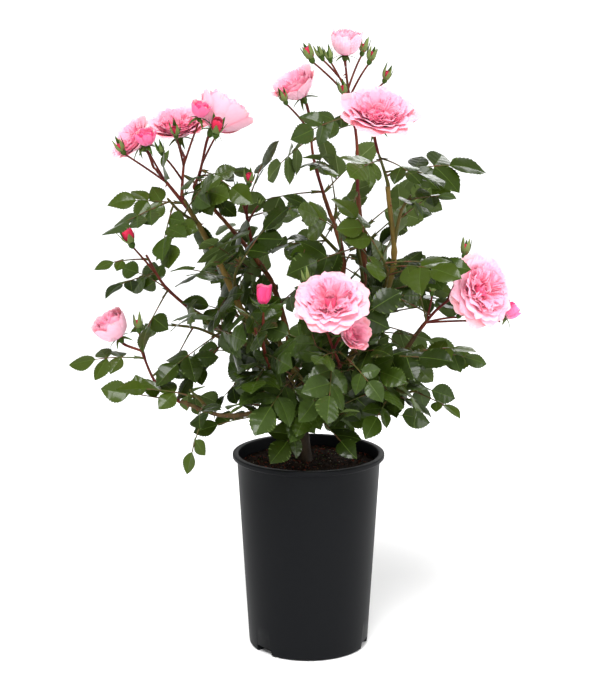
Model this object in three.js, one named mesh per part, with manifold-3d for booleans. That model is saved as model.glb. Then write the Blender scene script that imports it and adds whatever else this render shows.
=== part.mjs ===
// A shrub rose in its nursery pot, in full flower.
// Millimetres, +Z up. The origin is the centre of the pot's flat underside, +X runs along the
// bush's widest spread and -Y is its front, which most of the blooms face.
//
// Every limb is one tapering tube. A mass of foliage is one twig with compound leaves growing
// from it by a seeded rule. A large bloom is a node with its own flower stalk.

import * as THREE from 'three';
import Module from 'manifold-3d';

const wasm = await Module();
wasm.setup();

// ---------------------------------------------------------------- driving sizes

const GAP = 0.3; // clear space between pieces that touch

const POT = {
  height: 255,
  rimRadius: 98, // over the rolled lip
  lipHeight: 7,
  neckRadius: 92.5, // just under the lip
  footRadius: 77.5,
  wall: 2,
  floor: 3,
  stepRadius: 62, // the floor steps up outside this radius, over the drain notches
  stepHeight: 11,
  notches: 3,
  notchAngle: -48, // degrees round from the front to the first notch
  notchWidth: 27,
  notchHeight: 7,
  segments: 28,
};

const SOIL = { edge: 237, crown: 243 };

// Leaves keep out of a bowl over the soil, which is open to view.
const BOWL = { radius: 140, height: 258, slope: 0.16 };

// The crown is open to the sky along lanes that fan out from a viewer in front of it. Each lane
// crosses the plane y = 0 in a slot between two places, given as x and z, and has a radius there.
const VIEWER = new THREE.Vector3(-11, -2000, 785);
const LANES = [
  // on the left, between its sprays
  { from: [-192, 546], to: [-190, 534], radius: 8 },
  { from: [-152, 528], to: [-146, 512], radius: 10 },
  { from: [-146, 470], to: [-124, 464], radius: 11 },
  { from: [-218, 450], to: [-172, 442], radius: 12 },
  { from: [-186, 400], to: [-140, 402], radius: 13 },
  { from: [-118, 366], to: [-110, 342], radius: 12 },
  { from: [-235, 305], to: [-165, 292], radius: 16 },
  { from: [-112, 262], to: [-88, 282], radius: 12 },
  // between the tall canes
  { from: [-58, 596], to: [-38, 592], radius: 10 },
  { from: [4, 598], to: [8, 592], radius: 11 },
  { from: [30, 598], to: [46, 598], radius: 9 },
  { from: [40, 657], to: [48, 660], radius: 10 },
  { from: [-30, 546], to: [-8, 546], radius: 8 },
  { from: [-34, 504], to: [-32, 466], radius: 11 },
  { from: [22, 526], to: [28, 542], radius: 8 },
  { from: [50, 504], to: [54, 486], radius: 9 },
  { from: [86, 576], to: [86, 546], radius: 11 },
  { from: [106, 640], to: [130, 652], radius: 14 },
  // on the right, between its sprays
  { from: [150, 532], to: [208, 578], radius: 18 },
  { from: [110, 432], to: [128, 426], radius: 9 },
  { from: [158, 418], to: [196, 420], radius: 14 },
  { from: [172, 358], to: [192, 342], radius: 14 },
  { from: [132, 274], to: [176, 290], radius: 14 },
  // over the front of the pot's lip
  { from: [-72, 262], to: [-58, 262], radius: 12 },
  { from: [2, 260], to: [24, 262], radius: 12 },
  { from: [76, 260], to: [94, 270], radius: 12 },
];

const LEAF = {
  rachis: 74, // stalk of a full-size leaf, from the twig to its last leaflet
  stalkRadius: 1.0,
  leaflet: 37, // length of the last leaflet
  widthRatio: 0.74,
  widest: 0.42, // where a leaflet is widest, along its length
  thickness: 1.5, // how far the midrib stands over the line between the edges
  curl: 0.1, // how far the tip curls under
  rootWidth: 3.2, // length of stalk that a side leaflet grows from
  pairs: [0.47, 0.76], // where the pairs sit along the stalk
  pairScale: [0.82, 0.92],
  smallSize: 0.78, // a leaf below this size has one pair
  spread: 58, // degrees between a side leaflet and the stalk
  faceUp: 0.5, // a leaf faces up by this much
  faceOut: 0.75, // and out of the bush by this much
};

const GOLDEN_ANGLE = 137.5; // degrees from one leaf to the next round a twig
const CLEARANCE = 3.4; // a ball of this radius travels with every point of a leaf
const TRIES = 12; // how often a leaf is turned before it is left out

// ---------------------------------------------------------------- limbs

// Each limb starts inside its parent and is cut clear of it. The points are its base, the
// places where it bends, and its tip.
const LIMBS = [
  {
    name: 'cane_left_high', from: [-8, 0, 348], bends: [[-75, -10, 425], [-115, -15, 510]],
    tip: [-155, -20, 582], radius: [5.2, 3.0],
  },
  {
    name: 'cane_centre', from: [-2, 4, 350], bends: [[45, 6, 400], [70, 10, 475]],
    tip: [62, 15, 585], radius: [5.2, 3.0],
  },
  {
    name: 'cane_right_high', from: [-3, -6, 330], bends: [[45, -22, 372], [102, -42, 490]],
    tip: [96, -50, 602], radius: [4.8, 2.8],
  },
  {
    name: 'cane_centre_left', from: [-8, 8, 346], bends: [[22, 26, 420], [45, 32, 495]],
    tip: [20, 52, 580], radius: [4.4, 2.6],
  },
  {
    name: 'cane_left_back', from: [-12, 6, 345], bends: [[-42, 42, 455], [-75, 50, 508]],
    tip: [-142, 22, 592], radius: [4.2, 2.2],
  },
  {
    name: 'cane_left_upper', from: [-12, -2, 326], bends: [[-50, -12, 372], [-92, -14, 408]],
    tip: [-150, -12, 445], radius: [4.0, 2.4],
  },
  {
    name: 'cane_left_mid', from: [-10, 5, 322], bends: [[-48, 22, 368]],
    tip: [-105, 22, 396], radius: [3.4, 2.2],
  },
  {
    name: 'cane_right_low', from: [-2, -2, 308], bends: [[45, -30, 338], [102, -50, 377]],
    tip: [138, -60, 428], radius: [4.2, 2.6],
  },
  {
    name: 'cane_left_low', from: [-8, -4, 312], bends: [[-58, -46, 318], [-110, -60, 318]],
    tip: [-160, -60, 336], radius: [3.8, 2.2],
  },
  {
    name: 'cane_front', from: [-4, -4, 300], bends: [[12, -42, 344]],
    tip: [36, -82, 384], radius: [3.6, 2.4],
  },
  {
    name: 'cane_front_left', from: [-8, -4, 290], bends: [[-32, -46, 338]],
    tip: [-50, -82, 386], radius: [3.4, 2.2],
  },
  {
    name: 'cane_back_left', from: [-8, 4, 300], bends: [[-34, 60, 375]],
    tip: [-62, 118, 455], radius: [4.0, 2.4],
  },
  {
    name: 'cane_back_right', from: [-2, 4, 296], bends: [[44, 58, 372]],
    tip: [72, 112, 462], radius: [4.0, 2.4],
  },
];

const TRUNK = {
  name: 'trunk',
  from: [-4, 0, 238],
  bends: [[-9, 0, 292]],
  tip: [-6, 0, 356],
  radius: [9.5, 8.0],
  flare: 13, // radius at the foot
  flareHeight: 14,
};

// ---------------------------------------------------------------- masses of foliage

// on and at: the limb that the twig leaves and how far along it. leaves: how many compound
// leaves stand round the twig. toward: the side that they lean to. aims: leaves that reach out
// of the crown, each with its place along the twig, its heading and its size.
// buds: where each bud is, and its length.
const MASSES = [
  {
    name: 'foliage_left_high', on: 'cane_left_high', at: 1,
    bends: [[-157, -10, 606]], tip: [-156, 10, 630],
    leaves: 2, size: 0.75, toward: [0.1, -0.7, -0.2],
    aims: [],
    buds: [[-136, -22, 676, 32], [-162, -36, 660, 18], [-178, -50, 640, 15]],
  },
  {
    name: 'foliage_left_fork', on: 'cane_left_high', at: 0.93,
    bends: [[-174, -22, 602]], tip: [-191, -8, 620],
    leaves: 1, size: 0.75, toward: [-0.2, -0.6, -0.2],
    aims: [[0.15, -1, -0.2, 0.12, 0.8]],
    buds: [[-195, -38, 642, 34], [-226, -34, 640, 18]],
  },
  {
    name: 'foliage_left_top', on: 'cane_left_back', at: 1,
    bends: [[-137, 10, 612]], tip: [-131, -2, 636],
    leaves: 1, size: 0.9, toward: [0.3, -0.6, -0.1],
    aims: [[0.6, 0.9, -0.1, 0.2, 0.6], [0.75, 0.6, -0.7, -0.15, 0.85], [0.6, -0.2, -0.9, -0.1, 0.75]],
    buds: [[-114, -40, 661, 25]],
  },
  {
    name: 'foliage_left_inner', on: 'cane_left_back', at: 0.62,
    bends: [[-78, 16, 556]], tip: [-76, -18, 584],
    leaves: 2, size: 0.9, toward: [0.1, -0.5, 0],
    aims: [[0.5, 0.85, -0.3, 0.35, 0.85]],
    buds: [[-74, -26, 600, 20], [-88, -26, 596, 9], [-62, -22, 576, 9]],
  },
  {
    name: 'foliage_left_arm', on: 'cane_left_high', at: 0.86,
    bends: [[-158, -42, 570]], tip: [-172, -58, 588],
    leaves: 2, size: 0.9, toward: [0, -0.5, -0.3],
    aims: [[0.9, -0.7, -0.6, -0.25, 0.9], [0.5, -0.1, -0.8, -0.3, 0.9]],
    buds: [],
  },
  {
    name: 'foliage_left_shoulder', on: 'cane_left_high', at: 0.45,
    bends: [[-92, -42, 486]], tip: [-84, -62, 516],
    leaves: 4, size: 0.92, toward: [0.1, -0.5, 0],
    aims: [[0.9, -0.7, -0.4, 0.5, 0.9]],
    buds: [],
  },
  {
    name: 'foliage_left_upper', on: 'cane_left_upper', at: 1,
    bends: [[-182, -18, 476]], tip: [-204, -8, 512],
    leaves: 3, size: 0.8, toward: [0.2, -0.6, -0.1],
    aims: [[0.95, -1, -0.3, 0.1, 0.6], [0.8, -0.75, -0.6, -0.1, 0.72], [0.6, -0.4, -0.6, -0.75, 0.85]],
    buds: [[-218, -36, 526, 25]],
  },
  {
    name: 'foliage_left_bend', on: 'cane_left_upper', at: 0.66,
    bends: [[-118, -40, 424]], tip: [-132, -56, 442],
    leaves: 3, size: 0.9, toward: [0, -0.5, 0],
    aims: [[0.9, -0.3, -0.8, 0.2, 0.95], [0.5, 0.3, -0.8, 0.1, 0.95]],
    buds: [],
  },
  {
    name: 'foliage_left_mid', on: 'cane_left_mid', at: 1,
    bends: [[-140, 18, 413]], tip: [-170, 16, 418],
    leaves: 2, size: 0.8, toward: [0.1, -0.4, 0.1],
    aims: [[0.97, -1, -0.1, 0.1, 0.55]],
    buds: [],
  },
  {
    name: 'foliage_left_low', on: 'cane_left_low', at: 1,
    bends: [[-190, -56, 358]], tip: [-207, -50, 394],
    leaves: 2, size: 0.8, toward: [0.5, -0.5, 0],
    aims: [[0.95, -1, 0.1, 0.08, 0.84], [0.2, -1, -0.1, 0.22, 0.85]],
    buds: [[-212, -34, 418, 19]],
  },
  {
    name: 'foliage_left_skirt', on: 'cane_left_low', at: 0.74,
    bends: [[-134, -72, 340]], tip: [-146, -86, 356],
    leaves: 3, size: 0.92, toward: [0, -0.5, 0.2],
    aims: [[0.25, -0.3, -0.2, -0.85, 0.72]],
    buds: [],
  },
  {
    name: 'foliage_front_left', on: 'cane_front_left', at: 1,
    bends: [[-56, -94, 420]], tip: [-55, -100, 450],
    leaves: 4, size: 0.9, toward: [-0.1, -0.3, -0.1],
    aims: [],
    buds: [[-55, -101, 458, 30], [-68, -90, 436, 10]],
  },
  {
    name: 'foliage_front', on: 'cane_front', at: 1,
    bends: [[30, -104, 408]], tip: [22, -128, 434],
    leaves: 5, size: 0.92, toward: [0, -0.2, -0.4],
    aims: [],
    buds: [[-2, -112, 490, 16]],
  },
  {
    name: 'foliage_front_low', on: 'cane_front', at: 0.55,
    bends: [[-4, -70, 362]], tip: [-18, -92, 384],
    leaves: 5, size: 0.92, toward: [0, -0.4, 0],
    aims: [], buds: [],
  },
  {
    name: 'foliage_front_right', on: 'cane_right_low', at: 0.38,
    bends: [[66, -62, 380]], tip: [72, -86, 404],
    leaves: 5, size: 0.92, toward: [0.1, -0.4, 0],
    aims: [], buds: [],
  },
  {
    name: 'foliage_low_front', on: 'trunk', at: 0.5,
    bends: [[2, -46, 308]], tip: [20, -84, 322],
    leaves: 3, size: 0.92, toward: [0, -0.4, 0.1],
    aims: [[0.5, -0.45, -0.6, -0.15, 0.85], [0.8, 0.3, -0.6, -0.15, 0.8]],
    buds: [],
  },
  {
    name: 'foliage_low_left', on: 'trunk', at: 0.62,
    bends: [[-44, -26, 308]], tip: [-76, -44, 322],
    leaves: 4, size: 0.9, toward: [-0.2, -0.4, 0.1],
    aims: [[0.9, -0.25, -0.4, 0.85, 0.9]],
    buds: [],
  },
  {
    name: 'foliage_low_right', on: 'trunk', at: 0.56,
    bends: [[36, -22, 306]], tip: [76, -40, 326],
    leaves: 4, size: 0.9, toward: [0.2, -0.4, 0.1],
    aims: [], buds: [],
  },
  {
    name: 'foliage_right_skirt', on: 'cane_right_low', at: 0.62,
    bends: [[112, -66, 350]], tip: [134, -74, 352],
    leaves: 2, size: 0.85, toward: [0, -0.6, 0.2],
    aims: [[0.92, 0.85, -0.15, -0.45, 0.6]],
    buds: [],
  },
  {
    name: 'foliage_right_arm', on: 'cane_right_low', at: 0.84,
    bends: [[130, -72, 398]], tip: [140, -78, 406],
    leaves: 2, size: 0.85, toward: [0.1, -0.6, 0.1],
    aims: [[0.92, 0.95, -0.05, -0.12, 0.7]],
    buds: [],
  },
  {
    name: 'foliage_right_low', on: 'cane_right_low', at: 1,
    bends: [[156, -60, 450]], tip: [176, -56, 466],
    leaves: 1, size: 0.7, toward: [-0.2, -0.2, -0.5],
    aims: [[0.45, -0.2, -0.4, 0.75, 0.75]],
    buds: [[151, -62, 470, 18], [192, -36, 512, 20], [184, -50, 440, 18], [240, -24, 430, 32]],
  },
  {
    name: 'foliage_right_mid', on: 'cane_right_high', at: 0.56,
    bends: [[96, -66, 496]], tip: [88, -84, 520],
    leaves: 4, size: 0.95, toward: [0.1, -0.4, -0.1],
    aims: [[0.8, 0.8, -0.3, 0.15, 0.8]],
    buds: [],
  },
  {
    name: 'foliage_right_spur', on: 'cane_right_high', at: 0.78,
    bends: [[112, -52, 570]], tip: [124, -56, 592],
    leaves: 2, size: 0.8, toward: [0.2, -0.5, 0],
    aims: [[0.85, 0.7, -0.4, 0.15, 0.6]],
    buds: [],
  },
  {
    name: 'foliage_right_high', on: 'cane_right_high', at: 1,
    bends: [[90, -55, 625]], tip: [84, -60, 642],
    leaves: 1, size: 1.0, toward: [0, -0.5, -0.3],
    aims: [[0.5, 0.98, 0.15, 0.3, 1.12], [0.85, -0.4, -0.85, -0.1, 0.95], [0.9, 0.6, -0.8, -0.1, 0.7]],
    buds: [],
  },
  {
    name: 'foliage_centre_top', on: 'cane_centre', at: 1,
    bends: [[60, 24, 655], [50, 25, 712]], tip: [46, 25, 744],
    leaves: 0, size: 0.8, toward: [0, -0.4, 0],
    aims: [[0.62, -0.8, -0.5, -0.15, 0.8], [0.25, -0.2, -0.8, -0.4, 0.6]],
    buds: [
      [5, 10, 750, 22], [18, 30, 752, 16], [27, 0, 750, 16], [66, 32, 758, 18],
      [74, 8, 748, 19], [92, -12, 726, 18], [44, -2, 708, 18],
    ],
  },
  {
    name: 'foliage_centre', on: 'cane_centre', at: 0.66,
    bends: [[60, -16, 524]], tip: [46, -44, 540],
    leaves: 4, size: 0.95, toward: [0, -0.4, 0],
    aims: [[0.9, -0.6, -0.3, 0.35, 0.95], [0.9, 0.2, -0.6, 0.5, 0.85]],
    buds: [],
  },
  {
    name: 'foliage_centre_left_top', on: 'cane_centre_left', at: 1,
    bends: [[6, 55, 630]], tip: [2, 53, 674],
    leaves: 3, size: 0.9, toward: [-0.1, -0.5, -0.1],
    aims: [
      [0.35, -1, -0.2, 0.0, 1.0], [0.85, -0.45, -0.55, -0.3, 0.95], [0.9, 0.35, -0.9, 0.0, 0.6],
      [0.6, 0.5, -0.8, -0.05, 0.75],
    ],
    buds: [[-28, 24, 698, 18]],
  },
  {
    name: 'foliage_centre_left', on: 'cane_centre_left', at: 0.7,
    bends: [[10, 16, 540]], tip: [-8, -10, 556],
    leaves: 4, size: 0.95, toward: [-0.1, -0.4, 0],
    aims: [], buds: [],
  },
  {
    name: 'foliage_back_high', on: 'cane_centre_left', at: 0.86,
    bends: [[34, 84, 545]], tip: [38, 108, 566],
    leaves: 4, size: 0.95, toward: [0, 0.3, 0],
    aims: [], buds: [],
  },
  {
    name: 'foliage_back_mid_left', on: 'cane_back_left', at: 0.55,
    bends: [[-84, 96, 408]], tip: [-112, 112, 434],
    leaves: 4, size: 0.95, toward: [-0.1, 0.3, 0.1],
    aims: [], buds: [],
  },
  {
    name: 'foliage_back_mid_right', on: 'cane_back_right', at: 0.55,
    bends: [[86, 92, 408]], tip: [116, 104, 424],
    leaves: 4, size: 0.95, toward: [0.1, 0.3, 0],
    aims: [], buds: [],
  },
  {
    name: 'foliage_back_left', on: 'cane_back_left', at: 1,
    bends: [[-68, 132, 498]], tip: [-56, 134, 540],
    leaves: 5, size: 1.0, toward: [-0.1, 0.3, 0],
    aims: [], buds: [],
  },
  {
    name: 'foliage_back_right', on: 'cane_back_right', at: 1,
    bends: [[80, 128, 505]], tip: [70, 132, 545],
    leaves: 5, size: 1.0, toward: [0, 0.3, 0],
    aims: [], buds: [],
  },
  {
    name: 'foliage_back_low', on: 'trunk', at: 0.6,
    bends: [[4, 52, 324]], tip: [6, 104, 360],
    leaves: 3, size: 1.0, toward: [0, 0.3, 0],
    aims: [], buds: [],
  },
];

// ---------------------------------------------------------------- blooms

// on and at: the twig that the flower stalk leaves and how far along it. centre: the middle of
// the flower. facing: the way it looks. open: 1 is a flat rosette and 0 a closed cup.
const BLOOMS = [
  {
    name: 'bloom_centre', on: 'foliage_front', at: 1, centre: [25, -150, 478],
    facing: [-0.05, -0.66, 0.72], radius: 46, open: 1,
  },
  {
    name: 'bloom_centre_small', on: 'foliage_front', at: 0.7, centre: [50, -138, 436],
    facing: [0.5, -0.7, 0.3], radius: 22, open: 0.5,
  },
  {
    name: 'bloom_right', on: 'foliage_right_low', at: 1, centre: [213, -60, 476],
    facing: [0.5, -0.8, 0.3], radius: 49, open: 1,
  },
  {
    name: 'bloom_right_high', on: 'foliage_right_high', at: 1, centre: [83, -66, 690],
    facing: [0.12, -0.55, 0.85], radius: 47, open: 0.9,
  },
  {
    name: 'bloom_top', on: 'foliage_centre_top', at: 1, centre: [46, 25, 770],
    facing: [0.05, -0.15, 1], radius: 24, open: 0.15,
  },
  {
    name: 'bloom_top_left', on: 'foliage_centre_left_top', at: 1, centre: [-14, 48, 716],
    facing: [-0.45, -0.35, 0.8], radius: 30, open: 0.6,
  },
  {
    name: 'bloom_left_inner', on: 'foliage_left_top', at: 1, centre: [-110, 0, 682],
    facing: [0.5, 0.25, 0.8], radius: 38, open: 0.5,
  },
  {
    name: 'bloom_left_middle', on: 'foliage_left_high', at: 1, centre: [-165, 31, 670],
    facing: [-0.05, -0.4, 0.9], radius: 38, open: 0.85,
  },
  {
    name: 'bloom_left_outer', on: 'foliage_left_fork', at: 1, centre: [-218, 0, 654],
    facing: [-0.65, -0.45, 0.6], radius: 30, open: 0.8,
  },
  {
    name: 'bloom_left_low', on: 'foliage_left_low', at: 1, centre: [-243, -46, 424],
    facing: [-0.5, -0.3, 0.8], radius: 27, open: 0.25,
  },
];

// ---------------------------------------------------------------- colours

const plain = (color, roughness) => new THREE.MeshStandardMaterial({ color, roughness, metalness: 0 });
const COLOURS = {
  pot: plain(0x1f2226, 0.45),
  soil: plain(0x2a1d15, 0.95),
  trunk: plain(0x6b5a3a, 0.8),
  cane: plain(0x6a5b34, 0.6),
  foliage: plain(0x2f4d24, 0.4),
  bloom: plain(0xf0a3bd, 0.6),
};

// ---------------------------------------------------------------- small tools

const vector = (p) => new THREE.Vector3(p[0], p[1], p[2]);
const UP = new THREE.Vector3(0, 0, 1);
const FRONT = new THREE.Vector3(0, -0.5, 0);

function seededRandom(seed) {
  let state = seed >>> 0;
  return () => {
    state = (state + 0x6d2b79f5) | 0;
    let mixed = Math.imul(state ^ (state >>> 15), 1 | state);
    mixed = (mixed + Math.imul(mixed ^ (mixed >>> 7), 61 | mixed)) ^ mixed;
    return ((mixed ^ (mixed >>> 14)) >>> 0) / 4294967296;
  };
}

// The part of a direction that is square to an axis, as a unit vector.
function squareTo(direction, axis) {
  return direction.clone().addScaledVector(axis, -direction.dot(axis)).normalize();
}

// Any direction that is well off an axis.
function awayFrom(axis) {
  return Math.abs(axis.z) < 0.9 ? UP : new THREE.Vector3(1, 0, 0);
}

function turned(direction, axis, degrees) {
  return direction.clone().applyAxisAngle(axis, THREE.MathUtils.degToRad(degrees));
}

function solidFrom(corners, faces) {
  const vertProperties = new Float32Array(corners.length * 3);
  corners.forEach((corner, i) => corner.toArray(vertProperties, i * 3));
  const triVerts = new Uint32Array(faces.flat());
  return new wasm.Manifold(new wasm.Mesh({ numProp: 3, vertProperties, triVerts }));
}

function largestBody(solid) {
  return solid.decompose().reduce((best, body) => (body.volume() > best.volume() ? body : best));
}

function meshOf(name, solid, material) {
  const { vertProperties, triVerts } = solid.getMesh();
  const geometry = new THREE.BufferGeometry();
  geometry.setAttribute('position', new THREE.BufferAttribute(vertProperties, 3));
  geometry.setIndex(new THREE.BufferAttribute(triVerts, 1));
  geometry.computeVertexNormals();
  const mesh = new THREE.Mesh(geometry, material);
  mesh.name = name;
  return mesh;
}

// ---------------------------------------------------------------- tubes

// A closed tube with a ring of corners round each point. Each ring has its own radius.
function tubeThrough(points, radii, sides) {
  const corners = [];
  const faces = [];
  const last = points.length - 1;
  let side = null;
  points.forEach((point, i) => {
    const along = points[Math.min(i + 1, last)].clone().sub(points[Math.max(i - 1, 0)]).normalize();
    side = squareTo(side || awayFrom(along), along);
    const other = along.clone().cross(side);
    for (let k = 0; k < sides; k += 1) {
      const angle = (2 * Math.PI * k) / sides;
      corners.push(point.clone()
        .addScaledVector(side, radii[i] * Math.cos(angle))
        .addScaledVector(other, radii[i] * Math.sin(angle)));
    }
  });
  for (let i = 0; i < last; i += 1) {
    for (let k = 0; k < sides; k += 1) {
      const a = i * sides + k;
      const b = i * sides + ((k + 1) % sides);
      faces.push([a, b, b + sides], [a, b + sides, a + sides]);
    }
  }
  for (let k = 1; k < sides - 1; k += 1) {
    faces.push([0, k + 1, k]);
    faces.push([last * sides, last * sides + k, last * sides + k + 1]);
  }
  return solidFrom(corners, faces);
}

// A closed tube along a curve, with a ring at each of the places, which run from 0 to 1.
// reach lengthens both ends.
function tube(curve, places, sides, radiusAt, reach = 0) {
  const points = places.map((t) => curve.getPoint(t));
  points[0].addScaledVector(curve.getTangent(0), -reach);
  points[points.length - 1].addScaledVector(curve.getTangent(1), reach);
  return tubeThrough(points, places.map(radiusAt), sides);
}

// ---------------------------------------------------------------- where things are

// Everything that grows is also a cloud of balls, so that a new leaf can ask for free space.
const taken = [];

function claim(owner, kind, point, radius) {
  taken.push({ owner, kind, point, radius });
}

function isInBowl(point) {
  const outward = Math.hypot(point.x, point.y);
  return outward < BOWL.radius && point.z < BOWL.height + BOWL.slope * outward;
}

// Carries the point along the viewer's line of sight to the plane y = 0, and tests it there.
function isInLane(point) {
  const seen = VIEWER.clone().lerp(point, VIEWER.y / (VIEWER.y - point.y));
  return LANES.some(({ from, to, radius }) => {
    const slot = new THREE.Line3(new THREE.Vector3(from[0], 0, from[1]), new THREE.Vector3(to[0], 0, to[1]));
    return slot.closestPointToPoint(seen, true, new THREE.Vector3()).distanceTo(seen) < radius;
  });
}

// A ball is free if it misses every ball of the other owners. Leaves of the same mass only
// keep their blades apart.
function isFree(owner, kind, point, radius) {
  if (isInBowl(point) || (kind === 'blade' && isInLane(point))) return false;
  return taken.every((ball) => {
    if (ball.owner === owner && !(ball.kind === 'blade' && kind === 'blade')) return true;
    const room = ball.owner === owner ? 4.5 : radius + ball.radius;
    return ball.point.distanceToSquared(point) >= room * room;
  });
}

// ---------------------------------------------------------------- limbs

// A limb that carries on from its parent's tip starts just past it, square to it. Any other
// starts inside its parent, and is cut clear of it.
function startsOn(parent, at) {
  const root = parent.curve.getPoint(at);
  if (at < 1) return [root];
  const along = parent.curve.getTangent(1);
  return [root.clone().addScaledVector(along, GAP), root.clone().addScaledVector(along, GAP + 4)];
}

function limbFrom(spec, starts, sides, spacing) {
  const points = [...starts, ...spec.bends.map(vector), vector(spec.tip)];
  const curve = new THREE.CatmullRomCurve3(points, false, 'catmullrom', 0.5);
  const places = [0];
  let length = 0;
  points.slice(1).forEach((point, i) => {
    const stretch = point.distanceTo(points[i]);
    const rings = Math.max(1, Math.round(stretch / spacing));
    for (let k = 1; k <= rings; k += 1) places.push((i + k / rings) / (points.length - 1));
    length += stretch;
  });
  const radiusAt = (t) => THREE.MathUtils.lerp(spec.radius[0], spec.radius[1], t);
  return { name: spec.name, curve, length, places, sides, radiusAt };
}

function claimLimb(owner, limb) {
  const count = Math.ceil(limb.length / 5);
  for (let i = 0; i <= count; i += 1) {
    claim(owner, 'limb', limb.curve.getPoint(i / count), limb.radiusAt(i / count));
  }
}

const limbSolid = (limb) => tube(limb.curve, limb.places, limb.sides, limb.radiusAt);

// The same limb, thicker and longer by the gap: what its neighbours are cut with.
function limbRoom(limb) {
  return tube(limb.curve, limb.places, limb.sides, (t) => limb.radiusAt(t) + GAP * 1.2, GAP);
}

// A limb's solid, cut clear of the limbs it crosses. The largest piece is kept.
function cutClear(limb, others) {
  let solid = limbSolid(limb);
  for (const other of others) {
    const room = limbRoom(other);
    if (solid.intersect(room).volume() > 0.01) solid = solid.subtract(room);
  }
  return largestBody(solid);
}

function makeTrunk() {
  const limb = limbFrom(TRUNK, [vector(TRUNK.from)], 8, 12);
  const taper = limb.radiusAt;
  limb.radiusAt = (t) => {
    const height = t * limb.length;
    const flare = Math.max(0, 1 - height / TRUNK.flareHeight);
    const knuckle = Math.exp(-(((limb.length - height - 16) / 22) ** 2));
    return taper(t) + (TRUNK.flare - TRUNK.radius[0]) * flare * flare + 3 * knuckle;
  };
  return limb;
}

// ---------------------------------------------------------------- leaves and buds

// How far along a leaflet and how far to its side each point is that must find free space.
const LEAFLET_PLACES = [
  [0.12, 0], [0.3, 0], [0.55, 0], [0.8, 0], [1, 0],
  [0.25, 0.5], [0.5, 0.62], [0.72, 0.4],
  [0.25, -0.5], [0.5, -0.62], [0.72, -0.4],
];

function leafletPoints(leaflet) {
  const { root, along, normal, length } = leaflet;
  const side = normal.clone().cross(along);
  const points = [];
  for (const [far, wide] of LEAFLET_PLACES) {
    points.push(root.clone()
      .addScaledVector(along, length * far)
      .addScaledVector(side, length * LEAF.widthRatio * 0.5 * wide)
      .addScaledVector(normal, -length * LEAF.curl * far));
  }
  return points;
}

// A compound leaf: an arching stalk with two pairs of leaflets and one at its end.
function shapeLeaf(root, heading, outward, size, random) {
  const reach = LEAF.rachis * size;
  const droop = 0.02 + 0.16 * random();
  const bend = root.clone().addScaledVector(heading, reach * 0.5);
  const tip = root.clone().addScaledVector(heading, reach).addScaledVector(UP, -reach * droop);
  const curve = new THREE.QuadraticBezierCurve3(root, bend, tip);
  const leaflets = [];
  const roll = (random() - 0.5) * 50;
  const look = UP.clone().multiplyScalar(LEAF.faceUp).addScaledVector(outward, LEAF.faceOut);
  const faceOf = (along) => turned(squareTo(look, along), along, roll);
  const pairs = size < LEAF.smallSize ? LEAF.pairs.slice(1) : LEAF.pairs;
  pairs.forEach((place, i) => {
    const along = curve.getTangent(place);
    const normal = faceOf(along);
    for (const way of [1, -1]) {
      const spread = LEAF.spread + (random() - 0.5) * 16;
      const dip = 0.12 + 0.2 * random();
      const out = turned(along, normal, way * spread).addScaledVector(normal, -dip).normalize();
      const face = turned(squareTo(normal, out), out, (random() - 0.5) * 40);
      const length = LEAF.leaflet * size * LEAF.pairScale[i] * (0.9 + 0.2 * random());
      leaflets.push({ pair: i, way, root: curve.getPoint(place), along: out, normal: face, length });
    }
  });
  const along = curve.getTangent(1);
  const length = LEAF.leaflet * size * (0.95 + 0.15 * random());
  leaflets.push({ root: tip.clone(), along, normal: faceOf(along), length });
  return { curve, reach, pairs, leaflets, normal: faceOf(heading) };
}

// Keeps the leaflets that have free space. The leaf stands if its stalk is free and at least
// three leaflets are, the last one among them.
function fitLeaf(owner, leaf) {
  const stalk = [0.1, 0.2, 0.32, 0.44, 0.56, 0.68, 0.8, 0.92].map((t) => leaf.curve.getPoint(t));
  if (!stalk.every((point) => isFree(owner, 'stalk', point, 2))) return false;
  const last = leaf.leaflets[leaf.leaflets.length - 1];
  const fits = (leaflet) => leafletPoints(leaflet).every((point) => isFree(owner, 'blade', point, CLEARANCE));
  leaf.leaflets = leaf.leaflets.filter(fits);
  if (!leaf.leaflets.includes(last) || leaf.leaflets.length < 3) return false;
  stalk.forEach((point) => claim(owner, 'stalk', point, 2));
  const blades = leaf.leaflets.flatMap(leafletPoints);
  blades.forEach((point) => claim(owner, 'blade', point, CLEARANCE));
  return true;
}

// Leaves stand round a twig at the golden angle, from near its base to its tip. The aimed ones
// come first. A leaf that doesn't fit is turned and tried again, and then left out.
function growLeaves(spec, limb) {
  const random = seededRandom(hashOf(spec.name));
  const leaves = [];
  const tryLeaf = (place, heading, size) => {
    const root = limb.curve.getPoint(place);
    const outward = new THREE.Vector3(root.x, root.y, 0).normalize().add(FRONT).normalize();
    const leaf = shapeLeaf(root, heading.normalize(), outward, size, random);
    if (fitLeaf(spec.name, leaf)) leaves.push(leaf);
    return leaves.includes(leaf);
  };
  for (const [place, x, y, z, size] of spec.aims) {
    for (let attempt = 0; attempt < TRIES; attempt += 1) {
      if (tryLeaf(place, new THREE.Vector3(x, y - 0.1 * attempt, z + 0.04 * attempt), size)) break;
    }
  }
  let angle = random() * 360;
  for (let i = 0; i < spec.leaves; i += 1) {
    const place = 0.2 + (0.74 * (i + 0.5)) / spec.leaves;
    const along = limb.curve.getTangent(place);
    for (let attempt = 0; attempt < TRIES; attempt += 1) {
      const round = turned(squareTo(awayFrom(along), along), along, angle + attempt * 50);
      const heading = round.multiplyScalar(0.85).addScaledVector(along, 0.3);
      heading.add(vector(spec.toward)).addScaledVector(UP, 0.12);
      if (tryLeaf(place, heading, spec.size * (0.88 + 0.24 * random()))) break;
    }
    angle += GOLDEN_ANGLE;
  }
  return leaves;
}

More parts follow.
